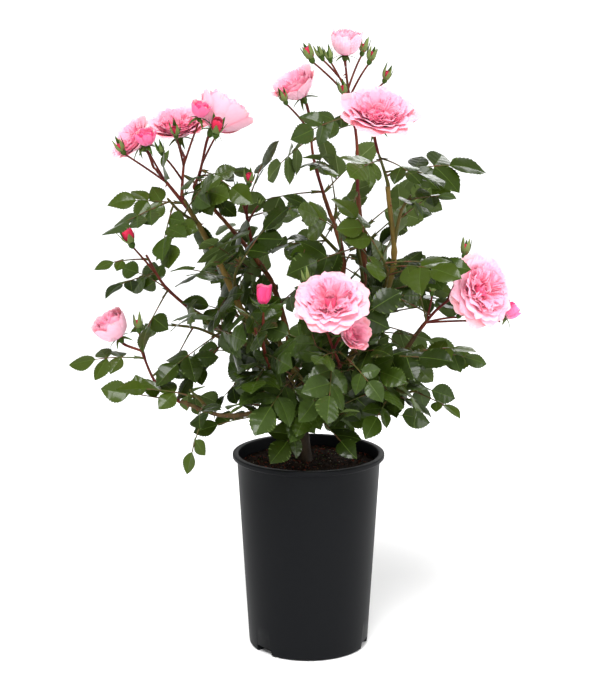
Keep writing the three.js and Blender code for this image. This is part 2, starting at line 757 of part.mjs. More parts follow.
function hashOf(name) {
  let hash = 2166136261;
  for (const letter of name) hash = Math.imul(hash ^ letter.charCodeAt(0), 16777619) >>> 0;
  return hash;
}

// A compound leaf as one closed surface. Its stalk is three-sided: a top ridge, a left edge and
// a right edge. Each leaflet grows out of one upper side of a short length of the stalk.
function leafSolid(leaf) {
  const corners = [];
  const faces = [];
  const add = (corner) => corners.push(corner) - 1;
  const face = (a, b, c, mirrored) => faces.push(mirrored ? [a, c, b] : [a, b, c]);
  const half = LEAF.rootWidth / 2 / leaf.reach;
  const places = [0, ...leaf.pairs.flatMap((place) => [place - half, place + half]), 1];
  const rings = places.map((t) => {
    const along = leaf.curve.getTangent(t);
    const top = squareTo(leaf.normal, along);
    const left = top.clone().cross(along);
    const at = (up, out) => add(leaf.curve.getPoint(t)
      .addScaledVector(top, up * LEAF.stalkRadius)
      .addScaledVector(left, out * LEAF.stalkRadius));
    return { top: at(1, 0), left: at(-0.5, 0.87), right: at(-0.5, -0.87) };
  });
  const last = rings.length - 1;

  // The blade's corners: its tip and its two edges, which hang below the midrib.
  const bladeOf = ({ root, along, normal, length }) => {
    const side = normal.clone().cross(along);
    const tip = root.clone().addScaledVector(along, length).addScaledVector(normal, -length * LEAF.curl);
    const middle = root.clone().lerp(tip, LEAF.widest);
    const edge = (way) => middle.clone()
      .addScaledVector(side, way * length * LEAF.widthRatio * 0.5)
      .addScaledVector(normal, -LEAF.thickness);
    return { tip: add(tip), plus: add(edge(1)), minus: add(edge(-1)) };
  };

  const quad = (a, b, c, d) => faces.push([a, b, c], [a, c, d]);
  rings.slice(1).forEach((ring, i) => {
    const before = rings[i];
    quad(ring.left, ring.right, before.right, before.left);
    for (const way of [1, -1]) {
      const edge = way === 1 ? 'left' : 'right';
      const mirrored = way === -1;
      const leaflet = leaf.leaflets.find((one) => one.way === way && one.pair === (i - 1) / 2);
      if (!leaflet) {
        face(ring.top, ring[edge], before[edge], mirrored);
        face(ring.top, before[edge], before.top, mirrored);
      } else {
        const blade = bladeOf(leaflet);
        const near = way === 1 ? blade.plus : blade.minus;
        const far = way === 1 ? blade.minus : blade.plus;
        face(before.top, ring.top, blade.tip, mirrored);
        face(ring.top, far, blade.tip, mirrored);
        face(before.top, blade.tip, near, mirrored);
        face(near, blade.tip, far, mirrored);
        face(before[edge], near, far, mirrored);
        face(before[edge], far, ring[edge], mirrored);
        face(before.top, near, before[edge], mirrored);
        face(ring.top, ring[edge], far, mirrored);
      }
    }
  });

  faces.push([rings[0].top, rings[0].left, rings[0].right]);
  const end = rings[last];
  const { tip, plus, minus } = bladeOf(leaf.leaflets[leaf.leaflets.length - 1]);
  faces.push([end.top, tip, plus], [end.top, minus, tip]);
  faces.push([end.top, plus, end.left], [end.top, end.right, minus]);
  faces.push([plus, tip, minus], [end.left, plus, minus], [end.left, minus, end.right]);
  return solidFrom(corners, faces);
}

// A bud on its own stalk, which arches out of the twig.
function shapeBud(limb, [x, y, z, length]) {
  const foot = new THREE.Vector3(x, y, z);
  let place = 0.9;
  while (place > 0.45 && limb.curve.getPoint(place).z > z - 34) place -= 0.06;
  const root = limb.curve.getPoint(place);
  const bend = root.clone().lerp(foot, 0.55).addScaledVector(limb.curve.getTangent(place), 4);
  const curve = new THREE.QuadraticBezierCurve3(root, bend, foot);
  const along = curve.getTangent(1).add(UP).normalize();
  return { curve, foot, along, length };
}

function claimBud(owner, bud) {
  for (const t of [0.4, 0.6, 0.8, 1]) claim(owner, 'bud', bud.curve.getPoint(t), 1.6);
  claim(owner, 'bud', bud.foot.clone().addScaledVector(bud.along, bud.length * 0.5), bud.length * 0.45);
}

const BUD_PROFILE = [[0.1, 0.25], [0.45, 0.34], [0.8, 0.2], [1, 0.05]]; // distance from foot, radius

// The stalk swells into the bud: one tube.
function budSolid(bud) {
  const stalk = [0, 0.5, 0.96].map((t) => bud.curve.getPoint(t));
  const swell = BUD_PROFILE.map(([far]) => bud.foot.clone().addScaledVector(bud.along, far * bud.length));
  return tubeThrough([...stalk, ...swell], [1, 1, 1, ...BUD_PROFILE.map(([, wide]) => wide * bud.length)], 4);
}

// ---------------------------------------------------------------- blooms

// The flower is one closed surface: scalloped rings, from the calyx out under the outer petals,
// over their rims, and in over two more whorls to the heart. Each ring has its radius and its
// height along the facing axis, on an open flower and on a closed one, and how deep its
// scallops are. All are for a flower of radius 1.
const WHORLS = [
  { open: [0.08, -0.5], closed: [0.12, -0.6], scallop: 0 },
  { open: [0.26, -0.42], closed: [0.5, -0.42], scallop: 0 },
  { open: [0.8, -0.2], closed: [0.86, 0.1], scallop: 0.04 },
  { open: [1.0, 0.04], closed: [0.8, 0.85], scallop: 0.06 },
  { open: [0.72, 0.08], closed: [0.62, 0.62], scallop: 0 },
  { open: [0.66, 0.27], closed: [0.56, 0.9], scallop: -0.12 },
  { open: [0.42, 0.22], closed: [0.4, 0.72], scallop: 0 },
  { open: [0.34, 0.38], closed: [0.3, 0.92], scallop: 0.12 },
  { open: [0.12, 0.26], closed: [0.1, 0.78], scallop: 0 },
];
const PETALS = 5;

function flowerSolid(bloom) {
  const { centre, facing, radius, open } = bloom;
  const side = squareTo(awayFrom(facing), facing);
  const sides = PETALS * 2;
  const corners = [];
  const faces = [];
  const whorls = radius > 35 ? WHORLS : WHORLS.slice(0, 6).concat(WHORLS.slice(8));
  for (const whorl of whorls) {
    const [wide, high] = [0, 1].map((k) => THREE.MathUtils.lerp(whorl.closed[k], whorl.open[k], open));
    for (let k = 0; k < sides; k += 1) {
      const scallop = 1 + whorl.scallop * (k % 2 ? -1 : 1);
      corners.push(centre.clone()
        .addScaledVector(facing, radius * high)
        .addScaledVector(turned(side, facing, (360 * k) / sides), radius * wide * scallop));
    }
  }
  const last = whorls.length - 1;
  for (let i = 0; i < last; i += 1) {
    for (let k = 0; k < sides; k += 1) {
      const a = i * sides + k;
      const b = i * sides + ((k + 1) % sides);
      faces.push([a, b, b + sides], [a, b + sides, a + sides]);
    }
  }
  for (let k = 1; k < sides - 1; k += 1) {
    faces.push([0, k + 1, k]);
    faces.push([last * sides, last * sides + k, last * sides + k + 1]);
  }
  return solidFrom(corners, faces);
}

function shapeBloom(spec, limb) {
  const centre = vector(spec.centre);
  const facing = vector(spec.facing).normalize();
  const calyx = centre.clone().addScaledVector(facing, -spec.radius * 0.48);
  const starts = startsOn(limb, spec.at);
  const neck = calyx.clone().addScaledVector(facing, -0.35 * starts[0].distanceTo(calyx));
  const plan = { name: spec.name, bends: [neck.toArray()], tip: calyx.toArray(), radius: [1.5, 2.2] };
  const stalk = limbFrom(plan, starts, 4, 34);
  return { ...spec, centre, facing, stalk };
}

function claimBloom(bloom) {
  const { name, centre, facing, radius, open } = bloom;
  for (const t of [0.35, 0.55, 0.75, 0.95]) claim(name, 'bud', bloom.stalk.curve.getPoint(t), 2);
  claim(name, 'bud', centre.clone().addScaledVector(facing, radius * 0.1), radius * 0.62);
  const start = squareTo(awayFrom(facing), facing);
  const lean = THREE.MathUtils.degToRad(28 + 58 * open);
  for (let i = 0; i < 12; i += 1) {
    const round = turned(start, facing, i * 30);
    const rim = centre.clone()
      .addScaledVector(facing, radius * (-0.35 + 0.95 * Math.cos(lean)))
      .addScaledVector(round, radius * 0.95 * Math.sin(lean));
    claim(name, 'bud', rim, radius * 0.25);
  }
}

// ---------------------------------------------------------------- pot and soil

function potRadius(z) {
  return THREE.MathUtils.lerp(POT.footRadius, POT.neckRadius, z / (POT.height - POT.lipHeight));
}

function turnedSolid(profile) {
  const lathe = new THREE.LatheGeometry(profile.map(([r, z]) => new THREE.Vector2(r, z)), POT.segments);
  lathe.rotateX(Math.PI / 2); // the lathe turns about Y, so stand it up on Z
  return solidOfGeometry(lathe);
}

// A closed three.js geometry as a solid, with its shared corners merged.
function solidOfGeometry(geometry) {
  const position = geometry.getAttribute('position');
  const index = geometry.getIndex();
  const corners = [];
  const seen = new Map();
  const number = [];
  for (let i = 0; i < position.count; i += 1) {
    const corner = new THREE.Vector3().fromBufferAttribute(position, i);
    const key = corner.toArray().map((c) => Math.round(c * 1000)).join();
    if (!seen.has(key)) {
      seen.set(key, corners.length);
      corners.push(corner);
    }
    number.push(seen.get(key));
  }
  const faces = [];
  const count = index ? index.count : position.count;
  for (let i = 0; i < count; i += 3) {
    const face = [0, 1, 2].map((k) => number[index ? index.getX(i + k) : i + k]);
    if (new Set(face).size === 3) faces.push(face);
  }
  return solidFrom(corners, faces);
}

function makePot() {
  const wallInside = (z) => potRadius(z) - POT.wall;
  const lipFoot = POT.height - POT.lipHeight;
  const profile = [
    [0, 0],
    [POT.footRadius - 2, 0],
    [POT.footRadius, 2.5],
    [POT.neckRadius, lipFoot - 1],
    [POT.rimRadius - 1.5, lipFoot],
    [POT.rimRadius, lipFoot + 1.5],
    [POT.rimRadius, POT.height - 2],
    [POT.rimRadius - 2, POT.height],
    [wallInside(POT.height) - 1, POT.height],
    [wallInside(lipFoot), lipFoot],
    [wallInside(POT.stepHeight + 4), POT.stepHeight + 4],
    [wallInside(POT.stepHeight) - 4, POT.stepHeight],
    [POT.stepRadius, POT.stepHeight],
    [POT.stepRadius - 4, POT.floor],
    [0, POT.floor],
  ];
  let pot = turnedSolid(profile);
  for (let i = 0; i < POT.notches; i += 1) {
    const block = new THREE.BoxGeometry(POT.notchWidth, 40, 2 * POT.notchHeight);
    block.translate(0, -(POT.stepRadius + 2.5 + 20), 0);
    block.rotateZ(THREE.MathUtils.degToRad(POT.notchAngle + (360 * i) / POT.notches));
    pot = pot.subtract(solidOfGeometry(block));
  }
  return pot;
}

function makeSoil() {
  const inside = (z) => potRadius(z) - POT.wall - GAP;
  return turnedSolid([
    [0, POT.floor + GAP],
    [POT.stepRadius - 4.5, POT.floor + GAP],
    [POT.stepRadius - 0.5, POT.stepHeight + GAP],
    [inside(POT.stepHeight) - 4.4, POT.stepHeight + GAP],
    [inside(POT.stepHeight + 4), POT.stepHeight + 4.4],
    [inside(SOIL.edge), SOIL.edge],
    [60, SOIL.edge + 3],
    [30, SOIL.crown],
    [0, SOIL.crown],
  ]);
}

// ---------------------------------------------------------------- the whole plant

// The trunk rises from a flat cut at the top of the soil.
function makeTrunkSolid(trunk) {
  const below = new THREE.BoxGeometry(60, 60, 40);
  below.translate(0, 0, SOIL.crown + GAP - 20);
  return limbSolid(trunk).subtract(solidOfGeometry(below));
}

function makeLimbs() {
  const trunk = makeTrunk();
  const limbs = new Map([['trunk', trunk]]);
  trunk.solid = makeTrunkSolid(trunk);
  for (const spec of LIMBS) {
    const limb = limbFrom(spec, [vector(spec.from)], 5, 36);
    limb.solid = cutClear(limb, limbs.values());
    limbs.set(spec.name, limb);
  }
  limbs.forEach((limb) => claimLimb(limb.name, limb));
  return limbs;
}

// The twig of each mass with its buds, and no leaves yet.
function makeTwigs(limbs) {
  const earlier = [...limbs.values()];
  return MASSES.map((spec) => {
    const limb = limbFrom({ ...spec, radius: [2.6, 1.5] }, startsOn(limbs.get(spec.on), spec.at), 3, 30);
    const buds = spec.buds.map((bud) => shapeBud(limb, bud));
    claimLimb(spec.name, limb);
    buds.forEach((bud) => claimBud(spec.name, bud));
    const solid = wasm.Manifold.union([cutClear(limb, earlier), ...buds.map(budSolid)]);
    earlier.push(limb);
    return { name: spec.name, spec, limb, solid };
  });
}

function makeBlooms(limbs, twigs) {
  const earlier = [...limbs.values(), ...twigs.map((twig) => twig.limb)];
  return BLOOMS.map((spec) => {
    const bloom = shapeBloom(spec, twigs.find((twig) => twig.name === spec.on).limb);
    claimBloom(bloom);
    bloom.solid = wasm.Manifold.union([cutClear(bloom.stalk, earlier), flowerSolid(bloom)]);
    return bloom;
  });
}

// Limbs, twigs, buds and blooms come first, and the leaves keep clear of all of them and of
// each other mass by mass.
function makePlant() {
  const limbs = makeLimbs();
  const twigs = makeTwigs(limbs);
  const blooms = makeBlooms(limbs, twigs);
  const nodes = [...limbs.values(), ...twigs, ...blooms];
  for (const twig of twigs) {
    const others = nodes.filter((node) => node !== twig);
    const isClear = (leaf) => others.every((other) => leaf.intersect(other.solid).volume() <= 0);
    const leaves = growLeaves(twig.spec, twig.limb).map(leafSolid).filter(isClear);
    twig.solid = largestBody(wasm.Manifold.union([twig.solid, ...leaves]));
  }
  const colourOf = (name) => COLOURS[name.startsWith('cane') ? 'cane' : name.split('_')[0]];
  return nodes.map((node) => meshOf(node.name, node.solid, colourOf(node.name)));
}

const roseBush = new THREE.Group();
roseBush.add(meshOf('pot', makePot(), COLOURS.pot));
roseBush.add(meshOf('soil', makeSoil(), COLOURS.soil));
roseBush.add(...makePlant());

export default roseBush;
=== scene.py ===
"""A shrub rose in full flower in its nursery pot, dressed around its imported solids.

The plant's limbs, twigs, leaves, buds and blooms follow the source's seeded rule, written again
here, so every fine piece grows where its plain solid stands. Finer shoots and leaves then fill
the same space. The plant is worked out in millimetres, as in the source, and a finished piece is
in metres. +X runs along the widest spread and -Y is the front.
"""

import math
from types import SimpleNamespace as Record

import bpy
import numpy as np
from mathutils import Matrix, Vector, noise


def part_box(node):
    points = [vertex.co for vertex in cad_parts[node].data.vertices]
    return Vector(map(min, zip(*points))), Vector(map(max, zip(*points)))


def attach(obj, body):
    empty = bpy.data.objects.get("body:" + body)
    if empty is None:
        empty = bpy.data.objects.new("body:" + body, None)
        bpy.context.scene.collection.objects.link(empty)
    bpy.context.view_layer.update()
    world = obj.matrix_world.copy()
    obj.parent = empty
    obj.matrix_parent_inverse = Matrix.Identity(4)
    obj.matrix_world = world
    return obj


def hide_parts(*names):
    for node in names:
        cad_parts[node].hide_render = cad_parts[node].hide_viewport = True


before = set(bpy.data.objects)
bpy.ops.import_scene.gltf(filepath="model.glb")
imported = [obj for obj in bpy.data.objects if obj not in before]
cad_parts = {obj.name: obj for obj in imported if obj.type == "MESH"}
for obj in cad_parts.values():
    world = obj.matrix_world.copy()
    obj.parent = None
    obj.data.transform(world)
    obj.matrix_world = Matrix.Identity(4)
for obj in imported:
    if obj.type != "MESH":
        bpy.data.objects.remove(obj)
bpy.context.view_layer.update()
BODY = "root"
METRES = 0.001  # in a millimetre


# ---- driving sizes

POT_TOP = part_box("pot")[1] / METRES
POT = Record(
    height=POT_TOP.z,
    rim_radius=POT_TOP.y,
    lip_height=5.4,
    lip_round=1.8,
    lip_top_round=1.6,
    neck_radius=92.5,
    neck_round=2,
    foot_radius=77.5,
    foot_round=3,
    wall=2,
    floor=3,
    step_radius=62,
    step_height=11,
    step_slope=4,
    notches=3,
    notch_angle=-48,
    notch_width=27,
    notch_height=9,
    notch_round=2.5,
)
SOIL = Record(edge=237, crown=243, crown_radius=30, slope_width=60, heaped=2.5, lumps=2.2,
              lump_size=16)
BOWL = Record(radius=140, height=258, slope=0.16)  # over the soil, kept clear of leaves

# Lanes through the crown that are open to the sky, fanning out from a viewer in front. Each
# crosses the plane y = 0 in a slot between two places: x and z, x and z, and its radius.
VIEWER = (-11, -2000, 785)  # the camera stands there, too
LANES = [
    # on the left, between its sprays
    (-192, 546, -190, 534, 8), (-152, 528, -146, 512, 10), (-146, 470, -124, 464, 11),
    (-218, 450, -172, 442, 12), (-186, 400, -140, 402, 13), (-118, 366, -110, 342, 12),
    (-235, 305, -165, 292, 16), (-112, 262, -88, 282, 12),
    # between the tall canes
    (-58, 596, -38, 592, 10), (4, 598, 8, 592, 11), (30, 598, 46, 598, 9), (40, 657, 48, 660, 10),
    (-30, 546, -8, 546, 8), (-34, 504, -32, 466, 11), (22, 526, 28, 542, 8), (50, 504, 54, 486, 9),
    (86, 576, 86, 546, 11), (106, 640, 130, 652, 14),
    # on the right, between its sprays
    (150, 532, 208, 578, 18), (110, 432, 128, 426, 9), (158, 418, 196, 420, 14),
    (172, 358, 192, 342, 14), (132, 274, 176, 290, 14),
    # over the front of the pot's lip
    (-72, 262, -58, 262, 12), (2, 260, 24, 262, 12), (76, 260, 94, 270, 12),
]

GAP = 0.3  # between solids that touch
LEAF = Record(
    rachis=74,
    leaflet=37,
    width_ratio=0.74,
    curl=0.1,
    pairs=[0.47, 0.76],
    pair_scale=[0.82, 0.92],
    small_size=0.78,
    spread=58,
    spread_play=16,
    roll_play=50,
    twist_play=40,
    face_up=0.5,
    face_out=0.75,
)
GOLDEN_ANGLE = 137.5
CLEARANCE = 3.4  # round each point of a leaflet
BLADE_ROOM = 4.5  # between two leaflets of one mass
STALK_ROOM = 2  # round a leaf's stalk
WIDEST_BALL = 60  # of everything that is claimed
TRIES = 12  # for one leaf
TRY_TURN = 50  # between two of them


# ---- the plant's plan

def cane(name, base, bends, tip, radii, bark):
    return Record(name="cane_" + name, base=base, bends=bends, tip=tip, radii=radii, bark=bark)


def mass(name, on, at, bends, tip, leaves, size, toward, aims=(), buds=()):
    """A mass of foliage: its twig leaves the cane, or the trunk, at a place along it."""
    on = on if on == "trunk" else "cane_" + on
    return Record(name="foliage_" + name, on=on, at=at, bends=bends, tip=tip, leaves=leaves,
                  size=size, toward=toward, aims=aims, buds=buds)


def flower(name, on, at, centre, facing, radius, openness):
    return Record(name="bloom_" + name, on="foliage_" + on, at=at, centre=vec(*centre),
                  facing=unit(vec(*facing)), radius=radius, open=openness)


def vec(*numbers):
    return np.array(numbers, dtype=float)


def unit(v):
    return v / math.sqrt(v @ v)


TRUNK = Record(base=[-4, 0, 238], bends=[[-9, 0, 292]], tip=[-6, 0, 356], radii=(9.5, 8.0), flare=13,
               flare_height=14, knuckle=3, knuckle_from_tip=16, knuckle_spread=22)
CANES = [cane(*row) for row in (
    ("left_high", [-8, 0, 348], [[-75, -10, 425], [-115, -15, 510]], [-155, -20, 582], (5.2, 3.0), "olive"),
    ("centre", [-2, 4, 350], [[45, 6, 400], [70, 10, 475]], [62, 15, 585], (5.2, 3.0), "red"),
    ("right_high", [-3, -6, 330], [[45, -22, 372], [102, -42, 490]], [96, -50, 602], (4.8, 2.8), "olive"),
    ("centre_left", [-8, 8, 346], [[22, 26, 420], [45, 32, 495]], [20, 52, 580], (4.4, 2.6), "red"),
    ("left_back", [-12, 6, 345], [[-42, 42, 455], [-75, 50, 508]], [-142, 22, 592], (4.2, 2.2), "red"),
    ("left_upper", [-12, -2, 326], [[-50, -12, 372], [-92, -14, 408]], [-150, -12, 445], (4.0, 2.4), "brown"),
    ("left_mid", [-10, 5, 322], [[-48, 22, 368]], [-105, 22, 396], (3.4, 2.2), "brown"),
    ("right_low", [-2, -2, 308], [[45, -30, 338], [102, -50, 377]], [138, -60, 428], (4.2, 2.6), "brown"),
    ("left_low", [-8, -4, 312], [[-58, -46, 318], [-110, -60, 318]], [-160, -60, 336], (3.8, 2.2), "brown"),
    ("front", [-4, -4, 300], [[12, -42, 344]], [36, -82, 384], (3.6, 2.4), "olive"),
    ("front_left", [-8, -4, 290], [[-32, -46, 338]], [-50, -82, 386], (3.4, 2.2), "olive"),
    ("back_left", [-8, 4, 300], [[-34, 60, 375]], [-62, 118, 455], (4.0, 2.4), "olive"),
    ("back_right", [-2, 4, 296], [[44, 58, 372]], [72, 112, 462], (4.0, 2.4), "brown"),
)]

MASSES = [
    mass("left_high", "left_high", 1, [[-157, -10, 606]], [-156, 10, 630], 2, 0.75, [0.1, -0.7, -0.2],
         buds=[[-136, -22, 676, 32], [-162, -36, 660, 18], [-178, -50, 640, 15]]),
    mass("left_fork", "left_high", 0.93, [[-174, -22, 602]], [-191, -8, 620], 1, 0.75, [-0.2, -0.6, -0.2],
         aims=[[0.15, -1, -0.2, 0.12, 0.8]],
         buds=[[-195, -38, 642, 34], [-226, -34, 640, 18]]),
    mass("left_top", "left_back", 1, [[-137, 10, 612]], [-131, -2, 636], 1, 0.9, [0.3, -0.6, -0.1],
         aims=[[0.6, 0.9, -0.1, 0.2, 0.6], [0.75, 0.6, -0.7, -0.15, 0.85], [0.6, -0.2, -0.9, -0.1, 0.75]],
         buds=[[-114, -40, 661, 25]]),
    mass("left_inner", "left_back", 0.62, [[-78, 16, 556]], [-76, -18, 584], 2, 0.9, [0.1, -0.5, 0],
         aims=[[0.5, 0.85, -0.3, 0.35, 0.85]],
         buds=[[-74, -26, 600, 20], [-88, -26, 596, 9], [-62, -22, 576, 9]]),
    mass("left_arm", "left_high", 0.86, [[-158, -42, 570]], [-172, -58, 588], 2, 0.9, [0, -0.5, -0.3],
         aims=[[0.9, -0.7, -0.6, -0.25, 0.9], [0.5, -0.1, -0.8, -0.3, 0.9]]),
    mass("left_shoulder", "left_high", 0.45, [[-92, -42, 486]], [-84, -62, 516], 4, 0.92, [0.1, -0.5, 0],
         aims=[[0.9, -0.7, -0.4, 0.5, 0.9]]),
    mass("left_upper", "left_upper", 1, [[-182, -18, 476]], [-204, -8, 512], 3, 0.8, [0.2, -0.6, -0.1],
         aims=[[0.95, -1, -0.3, 0.1, 0.6], [0.8, -0.75, -0.6, -0.1, 0.72], [0.6, -0.4, -0.6, -0.75, 0.85]],
         buds=[[-218, -36, 526, 25]]),
    mass("left_bend", "left_upper", 0.66, [[-118, -40, 424]], [-132, -56, 442], 3, 0.9, [0, -0.5, 0],
         aims=[[0.9, -0.3, -0.8, 0.2, 0.95], [0.5, 0.3, -0.8, 0.1, 0.95]]),
    mass("left_mid", "left_mid", 1, [[-140, 18, 413]], [-170, 16, 418], 2, 0.8, [0.1, -0.4, 0.1],
         aims=[[0.97, -1, -0.1, 0.1, 0.55]]),
    mass("left_low", "left_low", 1, [[-190, -56, 358]], [-207, -50, 394], 2, 0.8, [0.5, -0.5, 0],
         aims=[[0.95, -1, 0.1, 0.08, 0.84], [0.2, -1, -0.1, 0.22, 0.85]],
         buds=[[-212, -34, 418, 19]]),
    mass("left_skirt", "left_low", 0.74, [[-134, -72, 340]], [-146, -86, 356], 3, 0.92, [0, -0.5, 0.2],
         aims=[[0.25, -0.3, -0.2, -0.85, 0.72]]),
    mass("front_left", "front_left", 1, [[-56, -94, 420]], [-55, -100, 450], 4, 0.9, [-0.1, -0.3, -0.1],
         buds=[[-55, -101, 458, 30], [-68, -90, 436, 10]]),
    mass("front", "front", 1, [[30, -104, 408]], [22, -128, 434], 5, 0.92, [0, -0.2, -0.4],
         buds=[[-2, -112, 490, 16]]),
    mass("front_low", "front", 0.55, [[-4, -70, 362]], [-18, -92, 384], 5, 0.92, [0, -0.4, 0]),
    mass("front_right", "right_low", 0.38, [[66, -62, 380]], [72, -86, 404], 5, 0.92, [0.1, -0.4, 0]),
    mass("low_front", "trunk", 0.5, [[2, -46, 308]], [20, -84, 322], 3, 0.92, [0, -0.4, 0.1],
         aims=[[0.5, -0.45, -0.6, -0.15, 0.85], [0.8, 0.3, -0.6, -0.15, 0.8]]),
    mass("low_left", "trunk", 0.62, [[-44, -26, 308]], [-76, -44, 322], 4, 0.9, [-0.2, -0.4, 0.1],
         aims=[[0.9, -0.25, -0.4, 0.85, 0.9]]),
    mass("low_right", "trunk", 0.56, [[36, -22, 306]], [76, -40, 326], 4, 0.9, [0.2, -0.4, 0.1]),
    mass("right_skirt", "right_low", 0.62, [[112, -66, 350]], [134, -74, 352], 2, 0.85, [0, -0.6, 0.2],
         aims=[[0.92, 0.85, -0.15, -0.45, 0.6]]),
    mass("right_arm", "right_low", 0.84, [[130, -72, 398]], [140, -78, 406], 2, 0.85, [0.1, -0.6, 0.1],
         aims=[[0.92, 0.95, -0.05, -0.12, 0.7]]),
    mass("right_low", "right_low", 1, [[156, -60, 450]], [176, -56, 466], 1, 0.7, [-0.2, -0.2, -0.5],
         aims=[[0.45, -0.2, -0.4, 0.75, 0.75]],
         buds=[[151, -62, 470, 18], [192, -36, 512, 20], [184, -50, 440, 18], [240, -24, 430, 32]]),
    mass("right_mid", "right_high", 0.56, [[96, -66, 496]], [88, -84, 520], 4, 0.95, [0.1, -0.4, -0.1],
         aims=[[0.8, 0.8, -0.3, 0.15, 0.8]]),
    mass("right_spur", "right_high", 0.78, [[112, -52, 570]], [124, -56, 592], 2, 0.8, [0.2, -0.5, 0],
         aims=[[0.85, 0.7, -0.4, 0.15, 0.6]]),
    mass("right_high", "right_high", 1, [[90, -55, 625]], [84, -60, 642], 1, 1, [0, -0.5, -0.3],
         aims=[[0.5, 0.98, 0.15, 0.3, 1.12], [0.85, -0.4, -0.85, -0.1, 0.95], [0.9, 0.6, -0.8, -0.1, 0.7]]),
    mass("centre_top", "centre", 1, [[60, 24, 655], [50, 25, 712]], [46, 25, 744], 0, 0.8, [0, -0.4, 0],
         aims=[[0.62, -0.8, -0.5, -0.15, 0.8], [0.25, -0.2, -0.8, -0.4, 0.6]],
         buds=[
             [5, 10, 750, 22], [18, 30, 752, 16], [27, 0, 750, 16], [66, 32, 758, 18], [74, 8, 748, 19],
             [92, -12, 726, 18], [44, -2, 708, 18],
         ]),
    mass("centre", "centre", 0.66, [[60, -16, 524]], [46, -44, 540], 4, 0.95, [0, -0.4, 0],
         aims=[[0.9, -0.6, -0.3, 0.35, 0.95], [0.9, 0.2, -0.6, 0.5, 0.85]]),
    mass("centre_left_top", "centre_left", 1, [[6, 55, 630]], [2, 53, 674], 3, 0.9, [-0.1, -0.5, -0.1],
         aims=[
             [0.35, -1, -0.2, 0, 1], [0.85, -0.45, -0.55, -0.3, 0.95], [0.9, 0.35, -0.9, 0, 0.6],
             [0.6, 0.5, -0.8, -0.05, 0.75],
         ],
         buds=[[-28, 24, 698, 18]]),
    mass("centre_left", "centre_left", 0.7, [[10, 16, 540]], [-8, -10, 556], 4, 0.95, [-0.1, -0.4, 0]),
    mass("back_high", "centre_left", 0.86, [[34, 84, 545]], [38, 108, 566], 4, 0.95, [0, 0.3, 0]),
    mass("back_mid_left", "back_left", 0.55, [[-84, 96, 408]], [-112, 112, 434], 4, 0.95, [-0.1, 0.3, 0.1]),
    mass("back_mid_right", "back_right", 0.55, [[86, 92, 408]], [116, 104, 424], 4, 0.95, [0.1, 0.3, 0]),
    mass("back_left", "back_left", 1, [[-68, 132, 498]], [-56, 134, 540], 5, 1, [-0.1, 0.3, 0]),
    mass("back_right", "back_right", 1, [[80, 128, 505]], [70, 132, 545], 5, 1, [0, 0.3, 0]),
    mass("back_low", "trunk", 0.6, [[4, 52, 324]], [6, 104, 360], 3, 1, [0, 0.3, 0]),
]

BLOOMS = [
    flower("centre", "front", 1, [25, -150, 478], [-0.05, -0.66, 0.72], 46, 1),
    flower("centre_small", "front", 0.7, [50, -138, 436], [0.5, -0.7, 0.3], 22, 0.5),
    flower("right", "right_low", 1, [213, -60, 476], [0.5, -0.8, 0.3], 49, 1),
    flower("right_high", "right_high", 1, [83, -66, 690], [0.12, -0.55, 0.85], 47, 0.9),
    flower("top", "centre_top", 1, [46, 25, 770], [0.05, -0.15, 1], 24, 0.15),
    flower("top_left", "centre_left_top", 1, [-14, 48, 716], [-0.45, -0.35, 0.8], 30, 0.6),
    flower("left_inner", "left_top", 1, [-110, 0, 682], [0.5, 0.25, 0.8], 38, 0.5),
    flower("left_middle", "left_high", 1, [-165, 31, 670], [-0.05, -0.4, 0.9], 38, 0.85),
    flower("left_outer", "left_fork", 1, [-218, 0, 654], [-0.65, -0.45, 0.6], 30, 0.8),
    flower("left_low", "left_low", 1, [-243, -46, 424], [-0.5, -0.3, 0.8], 27, 0.25),
]


# ---- small tools

UP = vec(0, 0, 1)
ACROSS = vec(1, 0, 0)
FRONT = vec(0, -0.5, 0)
WORD = 0xFFFFFFFF


def cross(a, b):
    return vec(a[1] * b[2] - a[2] * b[1], a[2] * b[0] - a[0] * b[2], a[0] * b[1] - a[1] * b[0])


def square_to(direction, axis):
    """The part of a direction that is square to an axis, as a unit vector."""
    return unit(direction - axis * (direction @ axis))


def turned(direction, axis, degrees):
    """A direction turned about a unit axis."""
    angle = math.radians(degrees)
    along = axis * (axis @ direction) * (1 - math.cos(angle))
    return direction * math.cos(angle) + cross(axis, direction) * math.sin(angle) + along


def side_of(axis, degrees=0):
    """A direction square to an axis, turned about it from one that is always the same."""
    return turned(square_to(UP if abs(axis[2]) < 0.9 else ACROSS, axis), axis, degrees)


def mixed(a, b, share):
    return a + (b - a) * share


def play(random, spread):
    """A random number from minus to plus half the spread."""
    return (random() - 0.5) * spread


def seeded_random(name):
    """Draws the same numbers from 0 to 1 as the source does for that name."""
    state = seed_of(name)

    def draw():
        nonlocal state
        state = (state + 0x6D2B79F5) & WORD
        bits = ((state ^ state >> 15) * (1 | state)) & WORD
        bits = ((bits + (((bits ^ bits >> 7) * (61 | bits)) & WORD)) & WORD) ^ bits
        return (bits ^ bits >> 14) / 4294967296

    return draw


def seed_of(name):
    seed = 2166136261  # of the FNV hash, as is the factor
    for letter in name:
        seed = ((seed ^ ord(letter)) * 16777619) & WORD
    return seed


